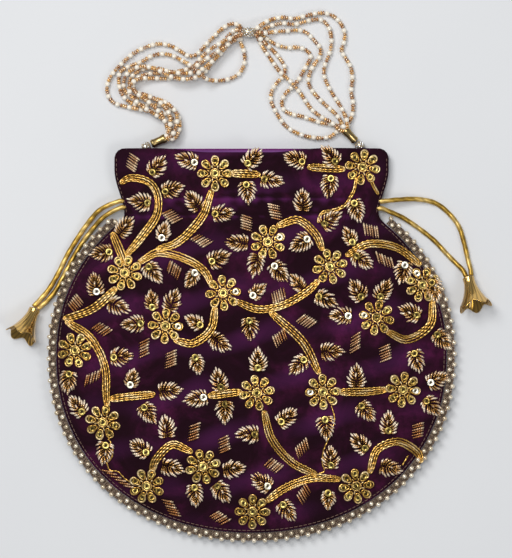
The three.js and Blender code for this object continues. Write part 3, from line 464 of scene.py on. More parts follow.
def wound_metal(
    name, dark, mid, bright, pitch, starts, roughness, strength, metal=1.0, groove=0.5
):
    """Metal wire or foil wound round a core.

    The wave runs starts times round and once every pitch mm along, which gives the coil's ridges,
    with painted shade between them, as strong as groove: ridge = sin(2 pi (starts * u + v /
    pitch)). Tone 0 is the dark metal, 0.5 the middle and 1 the bright; from 0.6 up the tone is
    painted highlight, and the metal is made less metallic there so that it shows pale.
    """
    material, tree, shader = start_material(name, Roughness=roughness)
    tone = add(tree, "ShaderNodeAttribute", {"attribute_name": "tone"}).outputs["Fac"]
    uv = add(tree, "ShaderNodeUVMap", {"uv_map": "Map"}).outputs[0]
    split = add(tree, "ShaderNodeSeparateXYZ", None, {0: uv})
    around = add(tree, "ShaderNodeMath", {"operation": "MULTIPLY"}, {
        0: split.outputs[0], 1: 2 * np.pi * starts,
    }).outputs[0]
    along = add(tree, "ShaderNodeMath", {"operation": "MULTIPLY_ADD"}, {
        0: split.outputs[1], 1: 2 * np.pi / pitch, 2: around,
    }).outputs[0]
    wave = add(tree, "ShaderNodeMath", {"operation": "SINE"}, {0: along}).outputs[0]
    ridge = add(tree, "ShaderNodeMapRange", None, {"Value": wave, 1: -1.0, 2: 1.0}).outputs[0]
    lower = add(tree, "ShaderNodeMapRange", None, {"Value": tone, 1: 0.0, 2: 0.5}).outputs[0]
    upper = add(tree, "ShaderNodeMapRange", None, {"Value": tone, 1: 0.5, 2: 1.0}).outputs[0]
    dull = add(tree, "ShaderNodeMix", COLOURS, {0: lower, 6: linear(dark), 7: linear(mid)})
    lit = add(tree, "ShaderNodeMix", COLOURS, {0: upper, 6: dull.outputs[2], 7: linear(bright)})
    # Painted shade: the colour darkens towards #2a1405 in the grooves between the ridges, by
    # groove.
    painted_valley_shade = add(tree, "ShaderNodeMapRange", None, {
        "Value": ridge, 1: 0.0, 2: 0.55, 3: groove, 4: 0.0,
    }).outputs[0]
    colour = add(tree, "ShaderNodeMix", COLOURS, {
        0: painted_valley_shade, 6: lit.outputs[2], 7: linear("#2a1405"),
    })
    # Painted highlight: where tone is above 0.6 the metal turns less metallic, so the bright end
    # shows pale.
    painted_highlight_metallic = add(tree, "ShaderNodeMapRange", None, {
        "Value": tone, 1: 0.6, 2: 1.0, 3: metal, 4: 0.3 * metal,
    })
    bump = add(tree, "ShaderNodeBump", None, {
        "Strength": strength, "Distance": 0.0004, "Height": ridge,
    })
    plug(shader, {
        "Base Color": colour.outputs[2], "Metallic": painted_highlight_metallic.outputs[0],
        "Normal": bump.outputs["Normal"],
    })
    return material


def plated(name, dark, bright, roughness, scale, depth, metal=1.0):
    """Plated sheet metal: tone picks its colour between dark and bright, and fine dents and
    tarnish of the given scale break up its reflections."""
    material, tree, shader = start_material(name, Metallic=metal)
    place = add(tree, "ShaderNodeTexCoord").outputs["Object"]
    tone = add(tree, "ShaderNodeAttribute", {"attribute_name": "tone"}).outputs["Fac"]
    grime = add(tree, "ShaderNodeTexNoise", None, {
        "Vector": place, "Scale": scale, "Detail": 3,
    }).outputs["Fac"]
    worn = add(tree, "ShaderNodeMapRange", None, {
        "Value": grime, 1: 0.35, 2: 0.7, 3: roughness - 0.06, 4: roughness + 0.14,
    })
    colour = add(tree, "ShaderNodeMix", COLOURS, {0: tone, 6: linear(dark), 7: linear(bright)})
    bump = add(tree, "ShaderNodeBump", None, {
        "Strength": depth, "Distance": 0.0004, "Height": grime,
    })
    plug(shader, {
        "Base Color": colour.outputs[2], "Roughness": worn.outputs[0],
        "Normal": bump.outputs["Normal"],
    })
    return material


def amber_glass():
    """Silver-lined glass seed beads, pressed and fire polished: honey amber with a bright core,
    some paler than others, so a strand glitters unevenly."""
    material, tree, shader = start_material(
        "amber_seed_bead_glass", Roughness=0.14, Metallic=0.35, IOR=1.52, Coat_Weight=1.0
    )
    place = add(tree, "ShaderNodeTexCoord").outputs["Object"]
    tone = add(tree, "ShaderNodeAttribute", {"attribute_name": "tone"}).outputs["Fac"]
    painted_glint_noise = add(tree, "ShaderNodeTexNoise", None, {
        "Vector": place, "Scale": 1100, "Detail": 1,
    }).outputs["Fac"]
    shade = add(tree, "ShaderNodeMix", COLOURS, {
        0: tone, 6: linear("#8e4f16"), 7: linear("#e8b263"),
    }).outputs[2]
    # Painted glint: small specks of the noise turn near white.
    glint = add(tree, "ShaderNodeMapRange", None, {
        "Value": painted_glint_noise, 1: 0.5, 2: 0.66, 3: 0.0, 4: 0.75,
    }).outputs[0]
    colour = add(tree, "ShaderNodeMix", COLOURS, {0: glint, 6: shade, 7: linear("#fff1d6")})
    plug(shader, {"Base Color": colour.outputs[2]})
    return material


def clouded(name, scale, detail, dark, bright, **values):
    """A smooth surface whose colour clouds softly between dark and bright."""
    material, tree, shader = start_material(name, **values)
    place = add(tree, "ShaderNodeTexCoord").outputs["Object"]
    cloud = add(tree, "ShaderNodeTexNoise", None, {
        "Vector": place, "Scale": scale, "Detail": detail,
    }).outputs["Fac"]
    colour = add(tree, "ShaderNodeMix", COLOURS, {0: cloud, 6: linear(dark), 7: linear(bright)})
    plug(shader, {"Base Color": colour.outputs[2]})
    return material


def crystal():
    """Cut glass stones in silver cups: hard bright facets, hardly any colour of their own."""
    material, tree, shader = start_material(
        "rhinestone_glass", Metallic=0.55, Roughness=0.08, IOR=1.6
    )
    place = add(tree, "ShaderNodeTexCoord").outputs["Object"]
    cut = add(tree, "ShaderNodeTexVoronoi", None, {
        "Vector": place, "Scale": 1400,
    }).outputs["Distance"]
    # Painted reflection: each facet is white in its middle and grey towards its edges.
    colour = add(tree, "ShaderNodeMix", COLOURS, {
        0: cut, 6: linear("#ffffff"), 7: linear("#8f959c"),
    })
    bump = add(tree, "ShaderNodeBump", None, {"Strength": 0.6, "Distance": 0.0003, "Height": cut})
    plug(shader, {"Base Color": colour.outputs[2], "Normal": bump.outputs["Normal"]})
    return material


VELVET = silk_velvet()
SATIN = satin()
BULLION = wound_metal(
    "gold_purl_wire", "#6f4d22", "#dba866", "#ffebd0",
    pitch=1.1, starts=0, roughness=0.28, strength=0.5, groove=0.1,
)
ZARI_CORD = wound_metal(
    "twisted_zari_cord", "#82581f", "#dcae5a", "#fde8b6",
    pitch=2.8, starts=1, roughness=0.3, strength=0.45, groove=0.22,
)
FLAT_BULLION = wound_metal(
    "dull_bullion_thread", "#7a4524", "#bc8150", "#ffe6c0",
    pitch=1.1, starts=0, roughness=0.34, strength=0.6, groove=0.2,
)
TISSUE_CORD = wound_metal(
    "gold_tissue_cord", "#846422", "#c6a046", "#eed087",
    pitch=5.5, starts=1, roughness=0.42, strength=0.35, metal=0.85, groove=0.3,
)
BRAID = wound_metal(
    "silver_gold_braid", "#5a483d", "#a58f7c", "#e4d4be",
    pitch=1.3, starts=3, roughness=0.42, strength=0.9, metal=0.7, groove=0.85,
)
STITCH = wound_metal(
    "sewing_thread", "#5a4038", "#8d6f60", "#c8ae9a",
    pitch=0.9, starts=1, roughness=0.7, strength=0.4, metal=0.2,
)
SEQUIN = plated("gold_sequin_foil", "#6b4c16", "#e6cf7c", roughness=0.3, scale=500, depth=0.25)
# Painted glint: a near-white foil for the sequins that flash.
PAINTED_GLINT_FOIL = plated(
    "sequin_foil_painted_glint", "#f3e6bc", "#fffdf4", roughness=0.34, scale=500, depth=0.2
)
BALL = plated(
    "champagne_metal_ball", "#bca582", "#fff3dc", roughness=0.18, scale=260, depth=0.15, metal=0.65
)
CAP = plated("gold_plated_cap", "#5e4a22", "#cdb27a", roughness=0.22, scale=120, depth=0.1)
# The bells are cast with lengthwise ribs, and a clear coat of lacquer lies over the brass.
BELL = wound_metal(
    "ribbed_brass_bell", "#3a220a", "#e3b14e", "#ffeab4",
    pitch=16.0, starts=20, roughness=0.17, strength=0.22,
)
plug(BELL.node_tree.nodes["Principled BSDF"], {"Coat Weight": 0.6})
AMBER = amber_glass()
# Glass pearls with a cream lacquer: a soft wide highlight under a clear glossy coat.
PEARL = clouded(
    "cream_pearl_lacquer", 300, 2, "#e8dcc6", "#f9f4e9",
    Roughness=0.3, Coat_Weight=0.6, Coat_Roughness=0.08, Sheen_Weight=0.2,
)
CRYSTAL = crystal()
DARK_THREAD = start_material("dark_knot_thread", Base_Color=linear("#2a1a10"), Roughness=0.8)[0]

# The camera looks straight down, far off, so that the picture is almost a plan: 0.55 mm a pixel.
PIXEL = 0.55
PICTURE_WIDTH, PICTURE_HEIGHT = 512, 558
ORIGIN_PIXEL = (251.5, 345.6)
CAMERA_HEIGHT = 2000.0
FOCUS_HEIGHT = 6
SENSOR_WIDTH = 36


def place_camera():
    """A long lens above the picture's middle. The sensor's width lies along the long side."""
    data = bpy.data.cameras.new("camera")
    data.sensor_width = SENSOR_WIDTH
    data.lens = SENSOR_WIDTH * (CAMERA_HEIGHT - FOCUS_HEIGHT) / (PICTURE_HEIGHT * PIXEL)
    data.clip_start, data.clip_end = 0.05, 20
    camera = bpy.data.objects.new("camera", data)
    camera.location = (
        (PICTURE_WIDTH / 2 - ORIGIN_PIXEL[0]) * PIXEL * MM,
        (ORIGIN_PIXEL[1] - PICTURE_HEIGHT / 2) * PIXEL * MM,
        CAMERA_HEIGHT * MM,
    )
    bpy.context.scene.collection.objects.link(camera)
    bpy.context.scene.camera = camera


place_camera()

# Drawcord routes, from the side of the neck to just before the bell.
CORD_START_GAP = 1.2
CORD_DIAMETER = 2.7
CORD_STEP = 0.8
CORD_TWIST_PITCH = 7
CORD_SHADE_PITCH = 23


def cord_start(side, y):
    """Where a drawcord leaves its casing."""
    return [side * (float(half_width(np.array(y))) + CORD_START_GAP), y, SEAM_HEIGHT]


DRAWCORDS = {
    "drawcord_left_upper": [
        cord_start(-1, 79.5), [-83.3, 74.8, 4], [-90.5, 67, 2.4], [-96.5, 58.3, 1.5],
        [-101.5, 50, 1.3], [-107, 39, 1.3], [-111.9, 30.8, 1.5], [-116.6, 25.2, 2.6],
        [-120, 21.4, 3.6],
    ],
    "drawcord_left_lower": [
        cord_start(-1, 76), [-81.1, 71, 4], [-88, 63.6, 2.4], [-93.8, 55.9, 1.5],
        [-98.9, 47.4, 1.3], [-104.2, 37.2, 1.3], [-109, 28.9, 1.5], [-113.9, 23.4, 2.6],
        [-117.7, 20.2, 3.6],
    ],
    "drawcord_right_upper": [
        cord_start(1, 79.5), [81.1, 80.3, 4.5], [91.6, 80.6, 2.5], [101.5, 78.4, 1.5],
        [108.6, 73, 1.3], [114.1, 65.8, 1.3], [117.2, 56.4, 1.3], [119.3, 47.1, 1.5],
        [120.6, 42, 2.6], [120.9, 38.6, 3.6],
    ],
    "drawcord_right_lower": [
        cord_start(1, 75.5), [76.2, 73.6, 4.6], [82.8, 70.7, 3], [90.5, 65.8, 1.8],
        [100.4, 58.1, 1.3], [107.5, 50.6, 1.3], [113, 45, 1.8], [116.4, 41.5, 2.8],
        [118.1, 38, 3.6],
    ],
}

# The bells, as in the model's source: the middle of each collar, and the way its mouth points.
BELL_LENGTH = 17.5
BELL_COLLAR_RADIUS = 3.3
BELL_RIM_RADIUS = 8.9
BELL_PETALS = 5
BELL_WALL = 0.8
PETAL_SPREAD = 0.12
BELL_COLLAR_HEIGHT = BELL_COLLAR_RADIUS + 0.5
BELLS = {
    "bell_left": ([-119.4, 19.7, BELL_COLLAR_HEIGHT], [-0.434, -0.901]),
    "bell_right": ([119.4, 37.2, BELL_COLLAR_HEIGHT], [0.223, -0.975]),
}
PETAL_RADIUS = BELL_RIM_RADIUS + PETAL_SPREAD * (BELL_RIM_RADIUS - BELL_COLLAR_RADIUS)
# A bell leans down until its widest petal is on the floor.
BELL_TILT = np.arccos(
    (BELL_COLLAR_HEIGHT - 0.1) / np.hypot(PETAL_RADIUS, BELL_LENGTH)
) - np.arctan2(BELL_LENGTH, PETAL_RADIUS)
KNOT_PROFILE = [(0.4, 0), (1.5, 0.2), (2.0, 0.9), (1.4, 1.7), (0.4, 2.0)]


def bell_surface(way):
    """A lily bell round its own axis, outside, over the curled lip and back up the inside.

    Radius = collar + (rim - collar) * s^1.9 * (1 + spread * s^2 * cos 5a), with s from the collar
    to the rim, so the mouth opens in five petals. The collar narrows by a tenth under its edge.
    The lip is half a small circle, and the inside is the outside less the wall.
    """
    columns = 80
    angle = np.arange(columns) * 2 * np.pi / columns
    share = np.concatenate([[0, 0.015, 0.05], np.linspace(0.09, 1, 24)])[:, None]
    widening = (BELL_RIM_RADIUS - BELL_COLLAR_RADIUS) * share**1.9

    def wall(inset, start):
        petal = share**2 * np.cos(BELL_PETALS * angle)
        collar = 0.9 + 0.1 * smooth_step(1 - 5 * share)
        radius = BELL_COLLAR_RADIUS * collar - inset
        radius = radius + widening * (1 + PETAL_SPREAD * petal)
        length = start + (BELL_LENGTH * (0.92 + 0.08 * petal) - start) * share
        return np.stack([radius * np.cos(angle), radius * np.sin(angle), length], -1)

    outside, inside = wall(0, 0), wall(BELL_WALL, 2 * BELL_WALL)[::-1]
    turn = np.linspace(0, np.pi, 7)[1:-1][:, None, None]
    middle = (outside[-1:] + inside[:1]) / 2
    half = (outside[-1:] - inside[:1]) / 2
    lip = middle + half * np.cos(turn) + 0.5 * np.sin(turn) * (UP + 0.6 * unit(half))
    grid = np.concatenate([outside, lip, inside])
    rise = np.tan(BELL_TILT) * np.hypot(*way)
    axis = np.array([way[0], way[1], rise])
    axis /= np.linalg.norm(axis)
    spin = Vector((0, 0, 1)).rotation_difference(Vector(axis)).to_matrix()
    return grid @ np.array(spin).T


def make_bells():
    """Both bells, and the wound knot in each collar where the drawcords go in."""
    for name, (collar, way) in BELLS.items():
        grid = bell_surface(way) + collar
        outside = len(grid) // 2
        # Tone: even on the outside, and falling to 0 on the inside as painted shade inside the
        # bell.
        shade = np.concatenate([
            np.linspace(0.62, 0.56, outside), np.linspace(0.3, 0.0, len(grid) - outside),
        ])
        shell = skin(grid[None, :, ::-1], tone=shade[None, :, None])
        bell = make_piece(name + "_flower", shell, BELL)
        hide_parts(name)
        inner_end = grid[-1].mean(0)
        inwards = (inner_end - np.array(collar)) / BELL_WALL / 2
        inwards /= np.linalg.norm(inwards)
        knot = turned(KNOT_PROFILE, inner_end + 0.1 * inwards, inwards, 12, tone=0.6)
        make_piece(name + "_knot", knot, TISSUE_CORD)


make_bells()


def make_drawcords():
    """Tissue fabric rolled into a cord: a tube whose radius wavers by 4 % every 7 mm, where it
    twists, and whose tone wavers every 23 mm."""
    for name, places in DRAWCORDS.items():
        inside = [places[0][0] - 2.2 * np.sign(places[0][0]), places[0][1], SEAM_HEIGHT - 0.6]
        curve = through([inside, *places])
        curve[:, 2] = np.maximum(curve[:, 2], 0.52 * CORD_DIAMETER)
        line = even_line(curve, int(line_length(curve) / CORD_STEP))
        along = np.linspace(0, line_length(line), len(line))
        radius = 0.5 * CORD_DIAMETER * (0.98 + 0.04 * np.sin(2 * np.pi * along / CORD_TWIST_PITCH))
        tone = 0.5 + 0.25 * np.sin(2 * np.pi * along / CORD_SHADE_PITCH + len(name))
        tube = carried(line, radius, 12, tone=tone[None])
        piece = make_piece(name + "_tissue", tube, TISSUE_CORD)
        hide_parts(name)


make_drawcords()

# The strap, with the same places as the model's source.
STRAND_RING_RADIUS = 2.75
LINK_HEIGHT = 4.65
LINK_BALL_DIAMETER = 5.5
END_GAP = 0.3
CAP_LENGTH = 8.6
CAP_RADIUS = 2.5
LINK_LEFT = ([-58, MOUTH_Y + 1.1], [0.919, 0.394])
LINK_RIGHT = ([59.4, MOUTH_Y + 1.6], [-0.679, 0.734])
CENTRE_BEAD = [-1.4, 172.5, LINK_HEIGHT]
CENTRE_BEAD_LENGTH = 8.6
CENTRE_BEAD_DIAMETER = 6.2
ROPE_MIDDLE = [
    [-44.3, 115], [-43, 120], [-44.8, 126.3], [-51.4, 131.2], [-59.9, 134.2], [-66.6, 137.7],
    [-69, 143.7], [-64.2, 149.2], [-55.4, 150.2], [-45.9, 147.7], [-36.6, 148.3], [-28.9, 152.1],
    [-23.4, 158.7], [-17.3, 165.3], [-11.5, 170.4], [-7.6, 172.2],
]
ROPE_PITCH = 72
ROPE_HEIGHT = 4.6
ROPE_WIDE = 4.4
ROPE_NARROW = 3.3
ROPE_NARROWS_FROM = 14
ROPE_NARROWS_OVER = 40
ROPE_OPENS_OVER = 12
ROPE_HALF_HEIGHT = 3.35
ROPE_STATION = 6
ROPE_STRANDS = 6
ROPE_FIRST_SLOT = 30
LOOP_FAR_LEAVES_AT = 27
LOOP_NEAR_LEAVES_AT = 40
LOOP_FAR = [
    [-70, 131.9, 1.6], [-76.2, 134, 1.3], [-79.4, 138.7, 1.3], [-79.4, 144.2, 1.3],
    [-76.6, 149.8, 1.3], [-71.4, 155.6, 1.3], [-65, 161, 1.3], [-58, 164.5, 1.3],
    [-51.4, 166.2, 1.3], [-44.8, 165.3, 1.3], [-39.3, 162.3, 1.3], [-34.6, 159.6, 1.3],
    [-30.4, 160.3, 1.3], [-26.4, 164.4, 1.3], [-21.6, 169.4, 1.3], [-16.2, 174.6, 1.4],
    [-11.2, 177.2, 1.9], [-7.2, 176.6, 3.6],
]
LOOP_NEAR = [
    [-72.6, 150.4, 1.7], [-66.6, 154.2, 1.3], [-60.8, 156.2, 1.3], [-55.8, 159.3, 1.3],
    [-49.8, 160.7, 1.3], [-43.7, 159.8, 1.6], [-39.4, 157.6, 3.6], [-34.7, 154.6, 10],
    [-29.6, 150.4, 12], [-25, 146.7, 7.4], [-19, 145.9, 2.4], [-12.4, 146.9, 1.5],
    [-6.9, 149.8, 1.3], [-4.1, 154.9, 1.3], [-3.9, 160.2, 1.3], [-4.9, 164.6, 1.3],
    [-6.2, 167.6, 1.5],
]
RIGHT_STRANDS = {
    "strand_right_1": [
        [3.4, 174.9, 5], [6, 177, 3.6], [10.2, 179.4, 1.8], [16.8, 180.8, 1.3], [23.9, 180.2, 1.3],
        [29.4, 181.6, 1.3], [34.9, 182.9, 1.3], [40.4, 183.2, 1.3], [45.4, 181.3, 1.3],
        [49.2, 177.4, 1.3], [51.4, 171.9, 1.3], [50.9, 167, 1.3], [49.6, 162.6, 1.3],
        [52, 158.2, 1.3], [54.7, 153.2, 1.3], [55.6, 146.6, 1.3], [54.9, 140, 1.3],
        [56, 133.4, 1.3], [55.4, 126.8, 1.6], [53.1, 121.6, 2.6],
    ],
    "strand_right_2": [
        [3.4, 174.6, 2.4], [6.5, 174.4, 1.4], [10.7, 176.2, 1.3], [16.8, 177.6, 1.3],
        [23.6, 177, 1.3], [29.4, 178.5, 1.3], [34.9, 179.7, 1.3], [39.3, 179.1, 1.3],
        [42.6, 175.2, 1.3], [44, 169.2, 1.3], [43.7, 163.7, 1.3], [42.1, 158.7, 1.3],
        [40.2, 153.8, 1.3], [40, 148.8, 1.3], [42.1, 143.3, 1.3], [44.8, 138.4, 1.3],
        [48.1, 133.4, 1.4], [50.6, 128.5, 2.8], [52.2, 124.6, 4.6], [52.6, 121.9, 5.6],
    ],
    "strand_right_3": [
        [3.4, 172.3, 6.8], [6.3, 171.9, 6.2], [9.6, 172.3, 4], [13.6, 173, 1.6], [20.1, 173.4, 1.3],
        [26.4, 173.8, 1.3], [30, 172.6, 1.3], [32.7, 170.3, 1.3], [35.5, 167, 1.3],
        [38, 163.7, 1.3], [37.6, 159.3, 1.3], [34.6, 154.9, 1.3], [32, 149.9, 1.3],
        [31.3, 145, 1.3], [33.3, 140.6, 1.3], [36.6, 136.7, 1.3], [40.4, 132.9, 1.3],
        [44.4, 129.4, 2], [47.8, 125.6, 4.6], [50.4, 120.6, 6.8],
    ],
    "strand_right_4": [
        [3.4, 172.3, 1.3], [5.6, 171.4, 1.3], [8.4, 169.2, 1.3], [13.5, 165.9, 1.3],
        [19.5, 164.2, 1.3], [25.6, 164.3, 1.3], [30.4, 162.7, 1.3], [32.6, 159.4, 1.3],
        [31, 155.5, 1.3], [28.4, 151, 1.3], [26, 146.6, 1.3], [22.4, 142.4, 1.3],
        [18.4, 138.4, 1.3], [16.6, 133.5, 1.3], [18.3, 129.4, 1.3], [22.5, 127.4, 1.3],
        [27.8, 126.3, 1.3], [33.3, 124.4, 1.3], [39, 122.6, 1.3], [44.4, 121.9, 1.3],
        [50.1, 120.4, 1.3],
    ],
    "strand_right_5": [
        [3.4, 169.7, 5.2], [5.6, 168.3, 4.6], [8.6, 165.6, 2.4], [12.9, 161.5, 1.3],
        [16.4, 157.1, 1.3], [18.4, 153.2, 1.3], [17.7, 148.8, 1.3], [14, 144.8, 1.3],
        [11.3, 140.6, 1.3], [10.7, 135.1, 1.3], [12.7, 130.1, 1.3], [15.6, 125.2, 1.3],
        [19, 120.9, 1.3], [23.9, 117.6, 1.3], [30, 115.4, 1.3], [36.6, 114.3, 1.3],
        [43.2, 115, 1.6], [48.2, 118.4, 2.6],
    ],
    "strand_right_6": [
        [3.4, 170, 2.4], [4.6, 167.6, 1.6], [6, 164.6, 1.3], [9.4, 159.6, 1.3], [12.8, 154.6, 1.6],
        [15.6, 150.8, 3.8], [19.4, 147.4, 4.2], [23, 143.6, 4.2], [26.6, 139.4, 3.4],
        [29.4, 135.2, 1.8], [32.2, 131.2, 1.4], [35.5, 128, 2.4], [39.6, 125.2, 4],
        [44, 122.8, 4.6], [48.4, 118.7, 5.6],
    ],
}


def rope_strand(slot, leaves_at):
    """One strand of the loose rope: it turns round the rope's middle line on a flat ellipse, once
    every pitch, and stops at the length where it leaves."""
    middle = through(np.array([[x, y, 0.0] for x, y in ROPE_MIDDLE]), 40)
    length = line_length(middle)
    end = min(leaves_at, length)
    along = np.linspace(0, end, int(round(end / ROPE_STATION)) + 1)
    ahead = unit(np.gradient(middle, axis=0))
    in_plan = (*middle[:, :2].T, *ahead[:, :2].T)
    x, y, way_x, way_y = (np.interp(along, distances(middle), values) for values in in_plan)
    angle = (along - slot) / ROPE_PITCH * 2 * np.pi
    spread = smooth_step(along / ROPE_OPENS_OVER) * smooth_step((length - along) / ROPE_OPENS_OVER)
    narrowing = smooth_step((along - ROPE_NARROWS_FROM) / ROPE_NARROWS_OVER)
    wide = ROPE_WIDE + (ROPE_NARROW - ROPE_WIDE) * narrowing
    across = (STRAND_RING_RADIUS + (wide - STRAND_RING_RADIUS) * spread) * np.cos(angle)
    up = (STRAND_RING_RADIUS + (ROPE_HALF_HEIGHT - STRAND_RING_RADIUS) * spread) * np.sin(angle)
    return np.stack([x - way_y * across, y + way_x * across, ROPE_HEIGHT + up], 1).tolist()


def strand_routes():
    """Every strand's places by its node's name."""
    gap = ROPE_PITCH / ROPE_STRANDS
    routes = {
        "strand_left_1": rope_strand(ROPE_FIRST_SLOT, LOOP_FAR_LEAVES_AT) + LOOP_FAR,
        "strand_left_2": rope_strand(ROPE_FIRST_SLOT + gap, LOOP_NEAR_LEAVES_AT) + LOOP_NEAR,
    }
    for i in range(2, ROPE_STRANDS):
        routes[f"strand_left_{i + 1}"] = rope_strand(ROPE_FIRST_SLOT + i * gap, np.inf)
    return {**routes, **RIGHT_STRANDS}


SEED_PROFILE = [(0.4, -0.62), (0.95, -0.54), (1.26, -0.2), (1.26, 0.2), (0.95, 0.54), (0.4, 0.62)]
SEED_PITCH = 1.32
SEEDS_BETWEEN = 3
SEED_END_GAP = 0.4
PEARL_DIAMETER = 2.9
STRAND_STEP = 0.6
STRAND_THREAD_RADIUS = 0.22
LED_IN_DEPTH = 0.4
LED_IN_SHARE = 0.4


def ball_profile(radius, steps=7):
    """A ball's half circle from pole to pole, with a pinhole at each."""
    angle = np.linspace(0.12, np.pi - 0.12, steps)
    return np.stack([radius * np.sin(angle), -radius * np.cos(angle)], 1)


def fitting_mouths():
    """Each end cap's mouth and the centre bead's two ends, each with the way in."""
    mouths = []
    for place, way in (LINK_LEFT, LINK_RIGHT):
        way = np.array([*way, 0]) / np.linalg.norm(way)
        reach = LINK_BALL_DIAMETER / 2 + END_GAP + CAP_LENGTH
        mouths.append((np.array([*place, LINK_HEIGHT]) + reach * way, -way))
    for side in (-1, 1):
        end = np.array(CENTRE_BEAD) + [side * CENTRE_BEAD_LENGTH / 2, 0, 0]
        mouths.append((end, np.array([-side, 0, 0])))
    return mouths


def led_in(place):
    """A place a little inside the nearest fitting, where the strand is gathered to its middle."""
    place = np.array(place, float)
    mouth, way = min(fitting_mouths(), key=lambda m: np.linalg.norm(m[0] - place))
    beside = (place - mouth) - np.dot(place - mouth, way) * way
    return (mouth + LED_IN_SHARE * beside + LED_IN_DEPTH * way).tolist()


def make_strands():
    """Beads threaded on each route: a pearl, then three seed beads, and so on along its length."""
    period = PEARL_DIAMETER + SEEDS_BETWEEN * SEED_PITCH
    between = SEED_PITCH * (np.arange(SEEDS_BETWEEN) + 0.5)
    for number, (name, places) in enumerate(strand_routes().items()):
        curve = through([led_in(places[0]), *places, led_in(places[-1])])
        curve[:, 2] = np.maximum(curve[:, 2], PEARL_DIAMETER / 2 + 0.03)
        length = line_length(curve)
        line = even_line(curve, int(length / STRAND_STEP))
        ahead = unit(np.gradient(line, axis=0))
        along = np.linspace(0, length, len(line))
        first = 1.5 + (number * 2.3) % period
        pearls_at = np.arange(first, length - 1.4, period)
        gaps = pearls_at[:, None] + PEARL_DIAMETER / 2 + between
        before = pearls_at[0] - PEARL_DIAMETER / 2 - SEED_PITCH / 2
        head = np.arange(before, SEED_END_GAP, -SEED_PITCH)
        tail = np.arange(gaps[-1, -1] + SEED_PITCH, length, SEED_PITCH)
        seeds_at = np.concatenate([head, gaps.ravel(), tail])
        seeds_at = seeds_at[(seeds_at > SEED_END_GAP) & (seeds_at < length - SEED_END_GAP)]

        def at(distance, values):
            return np.stack([np.interp(distance, along, values[:, k]) for k in range(3)], 1)

        shades = rng.uniform(0.0, 1.0, len(seeds_at))
        sizes = rng.uniform(0.92, 1.08, len(seeds_at))
        seeds = turned(
            SEED_PROFILE, at(seeds_at, line), at(seeds_at, ahead), 9, tone=shades, size=sizes
        )
        thread = carried(line, STRAND_THREAD_RADIUS, 5, tone=0.8)
        profile = ball_profile(PEARL_DIAMETER / 2)
        pearls = turned(profile, at(pearls_at, line), at(pearls_at, ahead), 12)
        threaded, materials = [thread, seeds, pearls], [AMBER, AMBER, PEARL]
        beads = make_piece(name + "_beads", threaded, materials)
        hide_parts(name)


make_strands()

STONE_PROFILE = [(0.1, -0.4), (0.55, -0.25), (0.62, 0.1), (0.4, 0.42), (0.1, 0.5)]
CENTRE_BEAD_STONES = 54
LINK_BALL_STONES = 34
# An end cap's radius and height, as shares of its own.
CAP_PROFILE = [
    (0.5, 0), (0.72, 0.0), (0.8, 0.02), (0.84, 0.06), (0.94, 0.12), (0.94, 0.16), (0.86, 0.22),
    (0.86, 0.62), (0.9, 0.7), (1.0, 0.84), (1.0, 0.97), (0.93, 1.0), (0.72, 0.97), (0.68, 0.86),
    (0.3, 0.84),
]


def granules(radius, half_length, count):
    """Even places on a barrel, by the golden angle. Returns places and outward ways round +Z."""
    step = np.arange(count) + 0.5
    height = 1 - 2 * step / count
    angle = step * np.pi * (3 - np.sqrt(5))
    ring = np.sqrt(1 - height**2)
    out = np.stack([ring * np.cos(angle), ring * np.sin(angle), height], 1)
    return out * [radius, radius, half_length], out


def along_way(points, way):
    """Points made round +Z, turned so that +Z points the given way in plan."""
    target = Vector((way[0], way[1], 0)).normalized()
    spin = Vector((0, 0, 1)).rotation_difference(target).to_matrix()
    return np.asarray(points) @ np.array(spin).T


def make_studded(name, node, centre, way, radius, half_length, count):
    """A bead covered in small cut stones, each in a cup of its own, over a silver core."""
    places, out = granules(radius - 0.5, half_length - 0.5, count)
    axis = along_way([[0, 0, 1.0]], way)[0]
    half = [
        (radius - 0.45, 0.35 * half_length), (0.7 * radius, 0.75 * half_length),
        (0.5, half_length - 0.4),
    ]
    core = turned([(r, -z) for r, z in half[::-1]] + half, centre, axis, 16, tone=0.15)
    stones = turned(STONE_PROFILE, along_way(places, way) + centre, along_way(out, way), 6)
    piece = make_piece(name, core, BALL)
    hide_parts(node)
    make_piece(name + "_stones", stones, CRYSTAL)


def make_links():
    """The studded link balls and centre bead, and the two gold end caps."""
    make_studded(
        "centre_bead_studded", "centre_bead", np.array(CENTRE_BEAD), [1, 0],
        CENTRE_BEAD_DIAMETER / 2, CENTRE_BEAD_LENGTH / 2, CENTRE_BEAD_STONES,
    )
    radius = LINK_BALL_DIAMETER / 2
    for side, (place, way) in (("left", LINK_LEFT), ("right", LINK_RIGHT)):
        centre = np.array([*place, LINK_HEIGHT])
        ball = f"link_ball_{side}"
        make_studded(ball + "_studded", ball, centre, way, radius, radius, LINK_BALL_STONES)
        start = centre + (radius + END_GAP) * np.array([*way, 0])
        profile = [(CAP_RADIUS * r, CAP_LENGTH * z) for r, z in CAP_PROFILE]
        metal = turned(profile, start, [*way, 0], 28, tone=0.55)
        cap = make_piece(f"end_cap_{side}_gold", metal, CAP)
        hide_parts(f"end_cap_{side}")


make_links()

# The pouch.
SEAM_GAP = 0.15
FRONT_MOUTH_DIP = 2.3
SHEEN_SLOPE_STEP = 1.2
LINING_INSET = 2.05
LINING_BELOW_MOUTH = 1.2
LINING_THICKNESS = 0.4


def panel_grid(height, rings):
    """The outline drawn in towards the body's middle: point = middle + ring * (edge - middle)."""
    edge = seam_line(330)
    ring = np.concatenate([[0.004], np.linspace(0.02, 1, rings) ** 0.9])[:, None]
    x = ring * edge[None, :, 0]
    y = CENTRE_Y + ring * (edge[None, :, 1] - CENTRE_Y)
    return np.stack([x, y, height(x, y)], -1)


